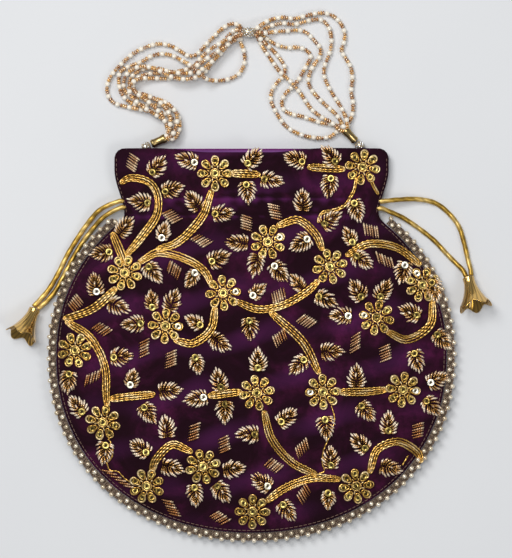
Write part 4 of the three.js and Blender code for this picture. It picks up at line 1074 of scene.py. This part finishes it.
def make_panels():
    """The velvet front and back, and the satin bag inside them.

    The front gets painted sheen where the cloth tips towards the mouth, and its edge dips in the
    middle of the mouth. The back gets a band of painted sheen where it shows under that dip.
    """
    front = panel_grid(lambda x, y: velvet_z(x, y) + SEAM_GAP, 100)
    x, y = front[..., 0], front[..., 1]
    # Painted sheen on the front: tone is higher where the cloth tips towards the mouth.
    nap_and_painted_sheen = np.clip(0.6 * (rumple(x, y - SHEEN_SLOPE_STEP) - rumple(x, y + SHEEN_SLOPE_STEP)), 0, 0.4)
    last_5_mm = np.clip((y - MOUTH_Y + 5) / 5, 0, 1)
    left, right = smooth_step((x + 52) / 30), smooth_step((40 - x) / 30)
    front[..., 1] -= FRONT_MOUTH_DIP * last_5_mm * left * right
    surface = skin(front[None], closed_ends=[0], tone=nap_and_painted_sheen[None])
    velvet_front = make_piece("velvet_front", surface, VELVET)
    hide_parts("front_panel")
    back = panel_grid(lambda x, y: back_z(x, y) - SEAM_GAP * seam_share(x, y) ** 4, 60)
    x, y = back[..., 0], back[..., 1]
    last_6_mm = np.clip((y - MOUTH_Y + 6) / 6, 0, 1)
    # Painted sheen on the back: a lighter band along its lip where it shows under the front's dip.
    nap_and_painted_sheen = 0.8 * last_6_mm * (smooth_step((x + 52) / 20) * smooth_step((36 - x) / 20))
    surface = skin(back[None, :, ::-1], closed_ends=[0], tone=nap_and_painted_sheen[None, :, ::-1])
    velvet_back = make_piece("velvet_back", surface, VELVET)
    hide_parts("back_panel")
    thickness = VELVET_THICKNESS * MM
    for piece in (velvet_front, velvet_back):
        add_modifier(
            piece, "thickness", "SOLIDIFY", thickness=thickness, offset=-1, use_even_offset=False
        )
    make_lining()


def make_lining():
    """A satin bag inside the velvet: each row across it is a closed loop that goes along the front
    and back along the back, x = half width * cos a, and its height is the front's or back's."""
    rows, columns = 70, 120
    bottom_y = CENTRE_Y - BODY_HALF_LENGTH + LINING_INSET
    upper_rows = np.linspace(bottom_y + 1, MOUTH_Y - LINING_BELOW_MOUTH, rows)
    y = np.concatenate([[bottom_y + 0.05], upper_rows])[:, None]
    angle = np.arange(columns) * 2 * np.pi / columns
    x = (half_width(y, LINING_INSET) - 0.05) * np.cos(angle)
    y = np.repeat(y, columns, 1)
    slack = 0.6 * rumple(x, y) * (1 - np.abs(np.cos(angle)) ** 4)
    top = front_z(x, y, LINING_INSET) + slack
    z = np.where(np.sin(angle) >= 0, top, back_z(x, y, LINING_INSET))
    grid = np.stack([x, y, z], -1)
    surface = skin(grid[None, ::-1], closed_ends=[-1])
    lining = make_piece("satin_lining", surface, SATIN)
    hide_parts("lining")
    add_modifier(lining, "thickness", "SOLIDIFY", thickness=LINING_THICKNESS * MM, offset=0)


# The embroidery's layout, in millimetres on the pouch.
FLOWERS = np.array([
    [-20, 94.5], [61, 98], [-69.5, 40], [9, 57], [43, 43.5], [-15.5, 29], [-47, 11], [68.5, 15.5],
    [94, 33.5], [-97, -2.5], [3, -25.5], [39, -25], [83, -24], [-81.5, -42], [-57.5, -77],
    [-26.5, -66], [57.5, -77], [0.5, -91],
])
# Leaves: centre and the direction of the tip in degrees.
LEAVES = np.array([
    [-52.5, 97.5, 50], [-44.5, 85.5, 15], [-60, 79, 170], [-34, 101.5, 160], [-31, 78.5, 125],
    [0, 102, 45], [-2.5, 85.5, 275], [10, 91, -10], [-17, 72.5, 5], [-48.5, 62, 75],
    [-70, 64.5, 50], [-6.5, 56.5, 175], [-19, 47.5, 25], [25, 102, 160], [44, 103.5, 130],
    [43, 89, 260], [28, 78.5, 90], [42.5, 68.5, 35], [57.5, 75.5, 290], [54, 59.5, 120],
    [28, 57, 210], [60, 47.5, -35], [-81, 51, 190], [-54.5, 41, 310], [-32.5, 37.5, 240],
    [-85.5, 32.5, 100], [-74, 22, -20], [-54.5, 24, 95], [-43.5, 24, 70], [-63.5, 12, 185],
    [-72.5, -6, 5], [-30.5, 13, 150], [-18, 2.5, -35], [-30, -9, 285], [2.5, 45.5, 255],
    [14.5, 41.5, 310], [25.5, 34, 130], [39.5, 26, -25], [3, 29.5, 40], [-1, 11, 275],
    [3.5, -9, 90], [26.5, -9.5, 225], [42.5, -3, 0], [58.5, 29.5, 120], [72, 29.5, 60],
    [50, 16.5, 180], [83.5, 41.5, 255], [88, 18, 155], [104, 4, -45], [90, -7, 285], [100, 32, -75],
    [-100.5, -18.5, 265], [-65.5, -18.5, 75], [-46, -24.5, 10], [-57, -36, 305], [-95, -34, 130],
    [-46.5, -45.5, 95], [-60, -56.5, 145], [-80.5, -57.5, 260], [-44.5, -66.5, -15],
    [-31, -80.5, 275], [-17, -79, -55], [-11, -67.5, 10], [-17.5, -19.5, 105], [-29, -28.5, 190],
    [-14.5, -34.5, 270], [-1, -48, 180], [18.5, -39.5, 40], [6.5, -75, 145], [40.5, -43, 275],
    [43.5, -62.5, 90], [42, -83.5, 270], [19, -89.5, 305], [57.5, -17.5, 90], [62, -35, 310],
    [75, -43.5, 90], [60, -54, 135], [75, -67, -15], [101, -19, 25], [98, -32.5, -45],
])
# Leaves with no sequin at their base.
PLAIN_LEAVES = np.array([
    [-31, 78.5], [-6.5, 56.5], [28, 78.5], [-74, 22], [-18, 2.5], [2.5, 45.5], [42.5, -3],
    [-46, -24.5], [-46.5, -45.5], [-44.5, -66.5], [-11, -67.5], [57.5, -17.5], [-70, 64.5],
    [-43.5, 24], [25.5, 34], [75, -67],
])
# Leaves that are smaller than the rest.
SMALL_LEAVES = np.array([
    [-48.5, 62], [54, 59.5], [-32.5, 37.5], [-54.5, 24], [-30.5, 13], [-30, -9], [25.5, 34],
    [3, 29.5], [-65.5, -18.5], [42, -83.5],
])
# Sequins painted near white as glints, on leaves and on petals.
GLINT_PAINTED_SEQUINS = np.array([
    [-30, 101], [-49.2, 58.6], [30.5, 58.1], [-32.2, 38.8], [-84.2, 28.4], [11.6, 44.9],
    [0.3, 27.3], [54.2, 15.7], [84.4, 44.3], [-66.8, -22.8], [-26.7, -28.3], [9.4, -77.8],
    [96.8, -18.9], [92.7, 39.9], [89.9, -26.6], [32.2, -26.6], [13.5, 60.8], [-40.4, 11.9],
    [62.4, 18.5], [-9.6, 31.1],
])
# Bullion patches: centre, direction of the row and direction of the threads towards their tips,
# both in degrees, and how much they shine. The threads' tips carry a painted highlight.
PATCHES = np.array([
    [-65.4, 100.6, 73, -35, 0.7], [-43.8, 71.1, -40, 205, 0.5], [-27.5, 57.8, -30, 210, 0.8],
    [-2.7, 67.5, 88, 162, 1.0], [12.9, 73.5, -77, 168, 0.6], [65.7, 63.1, -12, 98, 1.0],
    [73.3, 46.7, -22, 106, 0.8], [-42.5, 41.6, -37, 72, 0.1], [-96.5, 23.3, 50, 130, 0.3],
    [-82.1, 9, -30, 35, 0.0], [-58.8, -1.2, 90, 27, 0.1], [-44, -7.2, 87, 22, 0.2],
    [14.8, 27.5, 27, -78, 0.9], [30, 13.5, -30, 38, 0.6], [15.5, 4.5, 40, 110, 0.2],
    [56.7, 1.9, 88, 32, 0.7], [73.2, -3.9, -84, 22, 0.8], [-87, -17.5, 25, 77, 0.3],
    [-31.4, -47, 82, 20, 0.0], [-15, -53.7, -84, 24, 0.1], [12, -65.5, -30, 43, 0.6],
    [27.7, -56, 44, 106, 0.2], [91.3, -46.5, 90, 14, 0.0], [-44, -89, -62, -12, 0.0],
    [-17.5, -94.5, -35, 30, 0.0], [28.7, -81, 57, 120, 0.2], [-73.5, -73, -35, -8, 0.3],
])
VINES = [
    [[-71, 90], [-67, 92], [-56, 89.5], [-51.5, 82], [-52, 72], [-60, 60], [-68, 50.5]],
    [[-22, 84.5], [-27, 71], [-41, 56.5], [-51, 53]],
    [[-61, 46], [-51, 51], [-34, 46.5], [-25.5, 40.5], [-22, 34]],
    [[-76, 61], [-72, 51.5], [-70, 46]],
    [[-75, 31], [-86, 21], [-98, 16], [-102, 15]],
    [[-101, 13], [-88, 4], [-80.5, -11], [-79.5, -28], [-79, -32]],
    [[-76.5, -29], [-70, -28], [-54, -26.5]],
    [[-20, 20.5], [-22, 9.5], [-32, 1.5], [-41, 3]],
    [[-7.5, 24], [3.5, 20], [17.5, 22.5], [31, 30], [36, 35]],
    [[11, 18], [28.5, 1.5], [36.5, -14]],
    [[15, 66], [25.5, 69], [36, 60], [38.5, 53.5]],
    [[53, 50], [64, 56], [79.5, 54], [92, 45]],
    [[99.5, 24], [98, 11.5], [85, 3.5], [75, 7.5]],
    [[48.5, -25], [63, -25], [73, -24]],
    [[-22.5, -27], [-6.5, -25]],
    [[7, -36.5], [11, -50.5], [22, -63.5], [34.5, -70]],
    [[47.5, -73], [33.5, -72.5], [18.5, -78], [9, -84.5]],
    [[65, -68.5], [69, -57], [80.5, -52.5], [91.5, -59], [93, -63]],
    [[-33.5, -57.5], [-43.5, -54], [-52.5, -62.5], [-54.5, -68.5]],
    [[32, 98], [50, 97]],
    [[-10.5, 94.5], [3.5, 94]],
]
# Twigs: one narrow loop of the same cord.
TWIGS = [
    [
        [57.5, 92.2], [56.4, 85.6], [54.7, 82.3], [51.4, 77.3], [45.9, 74.6], [38.8, 72.9],
        [36.6, 68],
    ],
    [[65.5, 91], [67.5, 87], [69.5, 83.5]],
]
# Couched single cords between the motifs.
FINE_THREADS = [
    [[-79.5, -64], [-77.8, -68.4], [-73.4, -69], [-69.6, -72.8], [-65.2, -75.6]],
    [
        [43.7, -32.7], [45.4, -39.8], [43.7, -46.4], [41.5, -51.9], [39.3, -57.4], [38.8, -64.6],
        [39.9, -68.4], [36.6, -70], [32.2, -69.5],
    ],
    [[-78.4, -50.8], [-76.2, -55.8], [-76.7, -61.3], [-79.5, -64.6]],
    [[-16.2, 93.8], [-10.2, 94.9]],
    [[3, 93.8], [5.2, 92.2]],
    [[82.8, -65.7], [86.1, -60.2]],
]


def turn(degrees):
    """Unit ways at these angles."""
    angle = np.radians(degrees)
    return np.stack([np.cos(angle), np.sin(angle)], -1)


def leftwards(ways):
    """Ways in plan, turned a quarter to the left."""
    return np.stack([-ways[..., 1], ways[..., 0]], -1)


def on_velvet(places, height):
    """Places in plan lifted to the velvet's face and a height above it."""
    z = velvet_z(places[..., 0], places[..., 1]) + height
    return np.concatenate([places, z[..., None]], -1)


def near(places, marks, within=3.2):
    """Which places lie near one of the marks."""
    return (np.linalg.norm(places[:, None] - marks[None], axis=2) < within).any(1)


def bullion(starts, ends, radius, arch, bow=0.0, light=(0.35, 0.95), stations=7, sides=6, tip=0.36):
    """Short coiled wires: each runs from start to end and arches over the velvet.

    Height = 0.7 radius + arch * sin(pi s), and bow * length * sin(pi s) is how far it bends to the
    left. The wire swells towards its outer end, and past the tip share its tone rises from light[0]
    to about light[1], a painted highlight at the outer end.
    """
    s = np.linspace(0, 1, stations)
    whole = ends - starts
    bend = np.broadcast_to(bow, len(starts))[:, None] * np.sin(np.pi * s)
    middle = starts[:, None] + whole[:, None] * s[:, None]
    middle = middle + bend[..., None] * leftwards(whole)[:, None]
    routes = on_velvet(middle, 0.7 * radius + arch * np.sin(np.pi * s))
    shine = rng.uniform(0.0, 1.0, (len(starts), 1))
    # Painted highlight: past the tip share the tone rises towards light[1], brightest at the outer
    # end.
    rise = (light[1] - light[0]) * smooth_step((s - tip) / 0.25) * (0.7 + 0.3 * shine)
    tone = light[0] + 0.3 * (shine - 0.5) + rise
    swell = radius * (0.55 + 0.45 * np.sin(0.5 * np.pi * np.clip(s + 0.25, 0, 1.25)) ** 2)
    swell = swell * np.where((s == 0) | (s == 1), 0.45, 1.0)
    return carried(routes, swell[None], sides, tone=np.clip(tone, 0, 1))


# A leaf's wires: where each leaves the midrib, its angle to the midrib in degrees, and its length.
# The first seven are on the left, and the right is their mirror image. Two lie along the midrib.
LEAF_SIDE = [
    [-3.9, 86, 4.4], [-3.3, 71, 5.4], [-2.4, 59, 6.1], [-1.2, 49, 6.2], [0.1, 39, 6.0],
    [1.5, 29, 5.5], [2.8, 16, 5.0],
]
LEAF_OTHER_SIDE = [[start, -angle, length] for start, angle, length in LEAF_SIDE]
LEAF_WIRES = np.array(LEAF_SIDE + LEAF_OTHER_SIDE + [[3.8, 0, 5.0], [-1.4, 3, 4.2]])
LEAF_WIRE_RADIUS = 0.56
LEAF_ARCH = 0.9
LEAF_BOW = 0.11
SMALL_LEAF_SIZE = 0.82


def make_leaves():
    """Feathered leaves: wires fan out from the midrib and bend towards the tip, a little uneven."""
    centre, way = LEAVES[:, None, :2], turn(LEAVES[:, 2])[:, None]
    wires = LEAF_WIRES[None]
    count = (len(LEAVES), len(LEAF_WIRES))
    angle = LEAVES[:, None, 2] + wires[..., 1] + rng.uniform(-5, 5, count)
    length = wires[..., 2] * rng.uniform(0.86, 1.08, count)
    size = np.where(near(LEAVES[:, :2], SMALL_LEAVES), SMALL_LEAF_SIZE, 1.0)[:, None]
    starts = centre + (size * wires[..., 0])[..., None] * way
    ends = starts + (length * size)[..., None] * turn(angle)
    bow = LEAF_BOW * np.sign(wires[..., 1]) + rng.uniform(-0.04, 0.04, count)
    # Painted highlight: how bright the wire tips get, leaf by leaf.
    glow = np.repeat(rng.uniform(0.95, 1.25, len(LEAVES)), len(LEAF_WIRES))[:, None]
    wires = bullion(
        starts.reshape(-1, 2), ends.reshape(-1, 2), LEAF_WIRE_RADIUS, LEAF_ARCH, bow.ravel(),
        light=(0.13, glow), tip=0.38,
    )
    make_piece("bullion_leaves", wires, BULLION)


SEQUIN_LOOP = [(0.34, 0.0), (1.2, 0.1), (1.85, 0.34), (1.8, 0.46), (1.18, 0.24), (0.34, 0.14)]
# Sequins on leaves, in petals and in the middles of flowers: size, height and darkest tone.
SEQUIN_SIZES = (1.1, 0.98, 1.12)
SEQUIN_HEIGHTS = (1.75, 0.55, 1.0)
SEQUIN_TONES = (0.24, 0.12, 0.35)


def make_sequins():
    """Cupped sequins with a hole: one near each leaf's base, one in each petal, and one in the
    middle of each flower. Each leans its own way, and a dark knot shows in its hole."""
    leaf_places = LEAVES[~near(LEAVES[:, :2], PLAIN_LEAVES)]
    on_leaves = leaf_places[:, :2] - 2.9 * turn(leaf_places[:, 2])
    petals = (FLOWERS[:, None] + 6.9 * turn(petal_angles())).reshape(-1, 2)
    places = np.concatenate([on_leaves, petals, FLOWERS])
    counts = [len(on_leaves), len(petals), len(FLOWERS)]
    by_kind = (SEQUIN_SIZES, SEQUIN_HEIGHTS, SEQUIN_TONES)
    size, height, dull = (np.repeat(values, counts) for values in by_kind)
    lean = rng.normal(0, 0.16, (len(places), 2))
    lean = np.concatenate([lean, np.ones((len(places), 1))], 1)
    tone = np.clip(dull + rng.uniform(0, 0.45, len(places)), 0, 1)
    centres = on_velvet(places, height)
    # Painted glint: the listed sequins get the near-white foil and lean less.
    bright = near(places, GLINT_PAINTED_SEQUINS, 2.6)
    lean[bright, :2] *= 0.3
    foils = (("sequins", ~bright, SEQUIN), ("sequins_painted_near_white", bright, PAINTED_GLINT_FOIL))
    for name, chosen, foil in foils:
        rings = turned(
            SEQUIN_LOOP, centres[chosen], lean[chosen], 12, ring=True, tone=tone[chosen],
            size=size[chosen],
        )
        make_piece(name, rings, foil)
    knots = turned(ball_profile(0.42, 5), centres + [0, 0, 0.1], lean, 7)
    make_piece("sequin_knots", knots, DARK_THREAD)


def petal_angles():
    """The eight petals' directions of every flower, each flower turned its own way."""
    spin = np.arange(len(FLOWERS)) * 37.0 % 45
    return spin[:, None] + 45 * np.arange(8)


PETAL_MIDDLE = 6.7
PETAL_HALF_LENGTH = 2.75
PETAL_HALF_WIDTH = 2.35
PETAL_CORD_RADIUS = 0.52
PETAL_HEIGHT = 0.75
FLOWER_RING_RADIUS = 2.45
FLOWER_RING_CORD_RADIUS = 0.55
FLOWER_RING_HEIGHT = 1.0
# Ties from the ring to the petals: how far out each starts and ends, and its angles from
# the petal's own.
TIE_START, TIE_END = (2.2, 18), (4.9, 24)


def make_flowers():
    """Flowers of eight looped petals round a looped middle.

    A petal is a closed loop of cord: radial = middle + half length * cos p, and tangential = half
    width * sin p * (0.74 + 0.26 cos p), so that it is a drop with its point to the middle.
    """
    p = np.arange(22) * 2 * np.pi / 22
    out = turn(petal_angles())
    radial = PETAL_MIDDLE + PETAL_HALF_LENGTH * np.cos(p)
    tangential = PETAL_HALF_WIDTH * np.sin(p) * (0.74 + 0.26 * np.cos(p))
    loops = FLOWERS[:, None, None] + radial[:, None] * out[:, :, None]
    loops = loops + tangential[:, None] * leftwards(out)[:, :, None]
    loops = loops.reshape(-1, len(p), 2)
    tone = 0.35 + 0.35 * rng.uniform(0, 1, (len(loops), 1)) + 0.2 * np.cos(p - 0.6)
    loops = on_velvet(loops, PETAL_HEIGHT)
    petals = carried(loops, PETAL_CORD_RADIUS, 7, closed=True, height=1.15, tone=tone)
    middle = FLOWERS[:, None] + FLOWER_RING_RADIUS * np.stack([np.cos(p), np.sin(p)], -1)
    middle = on_velvet(middle, FLOWER_RING_HEIGHT)
    rings = carried(middle, FLOWER_RING_CORD_RADIUS, 7, closed=True, tone=0.6)
    starts, ends = (
        (FLOWERS[:, None] + reach * turn(petal_angles() + angle)).reshape(-1, 2)
        for reach, angle in (TIE_START, TIE_END)
    )
    ties = bullion(starts, ends, 0.42, 0.7, light=(0.4, 0.8), stations=5, sides=5)
    make_piece("flower_loops", [petals, rings, ties], ZARI_CORD)


PATCH_WIRES = 6
PATCH_WIRE_SPACING = 1.36
PATCH_HALF_LENGTHS = (3.1, 3.7)


def make_patches():
    """Satin-stitched blocks: six short wires side by side, slanted to the row."""
    row, thread = turn(PATCHES[:, 2])[:, None], turn(PATCHES[:, 3])[:, None]
    slant = np.radians(PATCHES[:, 3] - PATCHES[:, 2])
    pitch = PATCH_WIRE_SPACING / np.abs(np.sin(slant))
    shift = (np.arange(PATCH_WIRES) - (PATCH_WIRES - 1) / 2) * pitch[:, None]
    length = rng.uniform(*PATCH_HALF_LENGTHS, (len(PATCHES), PATCH_WIRES, 1))
    middle = PATCHES[:, None, :2] + shift[..., None] * row
    middle = middle + rng.normal(0, 0.1, middle.shape)
    starts = (middle - length * thread).reshape(-1, 2)
    ends = (middle + length * thread).reshape(-1, 2)
    shine = np.repeat(PATCHES[:, 4], PATCH_WIRES)[:, None]
    wires = bullion(starts, ends, 0.6, 0.6, light=(0.5 + 0.2 * shine, 1.05), tip=0.7)
    make_piece("bullion_patches", wires, FLAT_BULLION)


def racetrack(points, offset):
    """A loop that runs beside a curve at the offset, turns round its end and comes back.

    The offset narrows by a third at both ends, and wanders by up to 0.3 mm.
    """
    curve = through(points)
    middle = even_line(curve, max(12, int(line_length(curve) / 1.1)))
    ahead = unit(np.gradient(middle, axis=0))
    across = leftwards(ahead)
    half = np.linspace(0, np.pi, 7)[1:-1][:, None]
    share = np.linspace(0, 1, len(middle))
    width = offset * (1 - 0.34 * np.exp(-share / 0.08) - 0.34 * np.exp(-(1 - share) / 0.08))
    wander = np.cumsum(rng.normal(0, 0.09, (2, len(middle))), 1)
    wander = wander - wander[:, :1] - (wander[:, -1:] - wander[:, :1]) * share
    there, back = (width + 0.6 * np.tanh(w / 0.6) * 0.5 for w in wander)
    end = middle[-1] + width[-1] * (np.cos(half) * across[-1] + np.sin(half) * ahead[-1])
    start = middle[0] + width[0] * (-np.cos(half) * across[0] - np.sin(half) * ahead[0])
    out, home = middle + there[:, None] * across, middle - back[:, None] * across
    return np.concatenate([out, end, home[::-1], start])


VINE_OFFSETS = (0.62, 1.86)
TWIG_OFFSETS = (0.55,)
VINE_HEIGHT, VINE_RADIUS = 0.5, 0.51
FINE_HEIGHT, FINE_RADIUS = 0.4, 0.46


def make_vines():
    """Couched vines: two nested loops of twisted cord beside each other make four strands."""
    cords = []
    runs = [(points, VINE_OFFSETS) for points in VINES]
    runs += [(points, TWIG_OFFSETS) for points in TWIGS]
    for number, (points, offsets) in enumerate(runs):
        for offset in offsets:
            loop = racetrack(points, offset)
            step = np.arange(len(loop))
            # Painted highlights: the tone wavers up and down along each cord.
            quick = np.sin(step * 0.37 + 2.4 * number + 5 * offset)
            tone = np.clip(0.5 + 0.3 * quick * np.sin(step * 0.13 + offset), 0, 1)
            loop = on_velvet(loop, VINE_HEIGHT)
            cords.append(carried(loop, VINE_RADIUS, 6, closed=True, tone=tone[None]))
    for places in FINE_THREADS:
        curve = through(places)
        line = even_line(curve, max(8, int(line_length(curve) / 0.9)))
        cords.append(carried(on_velvet(line, FINE_HEIGHT), FINE_RADIUS, 6, tone=0.5))
    make_piece("couched_vines", cords, ZARI_CORD)


STITCH_PITCH = 2.6
SEAM_STITCH_LENGTH = 1.8
SIDE_STITCH_LENGTH = 1.5
SEAM_STITCH_SHARE = 0.987
SIDE_STITCH_INSET = 1.1
STITCH_RADIUS = 0.17


def make_stitches():
    """Sewing stitches: short dashes just inside the trim and up the neck's sides."""
    middle = np.array([0, CENTRE_Y])
    inner = middle + SEAM_STITCH_SHARE * (body_seam(1) - middle)
    neck_y = np.linspace(WAIST_Y + 3, MOUTH_Y - 4, 40)
    neck_x = half_width(neck_y) - SIDE_STITCH_INSET
    sides = [np.stack([side * neck_x, neck_y], 1) for side in (-1, 1)]
    lines = [(inner, SEAM_STITCH_LENGTH), *((side, SIDE_STITCH_LENGTH) for side in sides)]
    s = np.linspace(0, 1, 5)
    dashes = []
    for line, length in lines:
        starts = np.arange(0.5, line_length(line) - STITCH_PITCH, STITCH_PITCH)
        along = starts[:, None] + length * s
        places = np.stack([np.interp(along, distances(line), line[:, k]) for k in (0, 1)], -1)
        places = on_velvet(places, 0.2 + 0.2 * np.sin(np.pi * s))
        dashes.append(carried(places, STITCH_RADIUS, 5, tone=0.55))
    make_piece("seam_stitches", dashes, STITCH)


# The braid's five cords: how far each lies out from the seam, and its radius.
BRAID_CORDS = ((0.7, 0.45), (1.5, 0.45), (2.35, 0.45), (3.2, 0.42), (3.9, 0.4))
INNER_BALLS_OUT = 1.75
BALLS_ABOVE_SEAM = 0.75


def make_trim():
    """The trim: a flat braid along the seam, from under the waist round the bottom, with two rows
    of metal balls half a pitch apart."""
    line = body_seam(3)
    steps = int(round(line_length(line) / (BALL_PITCH / 2)))
    fine = even_line(line, steps * 4 + 1)
    out = -leftwards(unit(np.gradient(fine, axis=0)))
    places = np.arange(len(fine))
    wave = 0.25 * np.cos(places * np.pi / 4)
    tone = 0.35 + 0.3 * (places % 3 == 0)[None]
    cords = []
    for offset, radius in BRAID_CORDS:
        beside = fine + (offset + wave[:, None] * (offset > 1)) * out
        height = SEAM_HEIGHT - 0.2 + 0.12 * np.cos(places * np.pi / 2 + offset * 3)
        route = np.concatenate([beside, height[:, None]], 1)
        cords.append(carried(route, radius, 7, tone=tone))
    braid = make_piece("metal_braid", cords, BRAID)
    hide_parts("bead_trim")
    inner, outer = places[::8], places[4::8]
    outer_balls_out = TRIM_REACH - BALL_DIAMETER / 2
    centres = np.concatenate([
        fine[inner] + INNER_BALLS_OUT * out[inner], fine[outer] + outer_balls_out * out[outer],
    ])
    height = np.full((len(centres), 1), SEAM_HEIGHT + BALLS_ABOVE_SEAM)
    centres = np.concatenate([centres, height], 1)
    centres[:, 2] += rng.uniform(-0.15, 0.15, len(centres))
    tone = rng.uniform(0.3, 1.0, len(centres))
    balls = turned(ball_profile(BALL_DIAMETER / 2), centres, UP, 12, tone=tone)
    make_piece("trim_balls", balls, BALL)


make_panels()
make_leaves()
make_flowers()
make_sequins()
make_patches()
make_vines()
make_stitches()
make_trim()

# The studio: a plain pale floor, soft light from above, and a small lamp for the metal's glints.
# Each lamp has its place and width in metres and its power in watts.
FLOOR_CORNERS = ((-3, -3), (3, -3), (3, 3), (-3, 3))
FLOOR_HEIGHT = -0.0004
LAMPS = (
    ("soft_lamp", (-0.6, 0.8, 1.4), 0.7, 14.0),
    ("fill_lamp", (0.9, -0.5, 1.2), 0.6, 4.0),
    ("top_lamp", (-0.16, 0.3, 1.7), 0.45, 9.0),
)


def make_studio():
    """The floor, the three lamps and a pale sky."""
    scene = bpy.context.scene
    mesh = bpy.data.meshes.new("floor")
    mesh.from_pydata([(x, y, FLOOR_HEIGHT) for x, y in FLOOR_CORNERS], [], [(0, 1, 2, 3)])
    floor = bpy.data.objects.new("floor", mesh)
    mesh.materials.append(clouded(
        "pale_floor", 6, 3, "#d6d7d9", "#dedfe0", Roughness=0.75, Specular_IOR_Level=0.2
    ))
    scene.collection.objects.link(floor)
    for name, place, width, power in LAMPS:
        data = bpy.data.lights.new(name, "AREA")
        data.shape, data.size, data.energy = "DISK", width, power
        lamp = bpy.data.objects.new(name, data)
        lamp.location = place
        aim = Vector((0, 0.03, 0)) - Vector(place)
        lamp.rotation_euler = aim.to_track_quat("-Z", "Y").to_euler()
        scene.collection.objects.link(lamp)
    world = bpy.data.worlds.new("studio")
    world.use_nodes = True
    plug(world.node_tree.nodes["Background"], {"Color": linear("#eef1f5"), "Strength": 0.3})
    scene.world = world
    scene.view_settings.view_transform = "Standard"


make_studio()
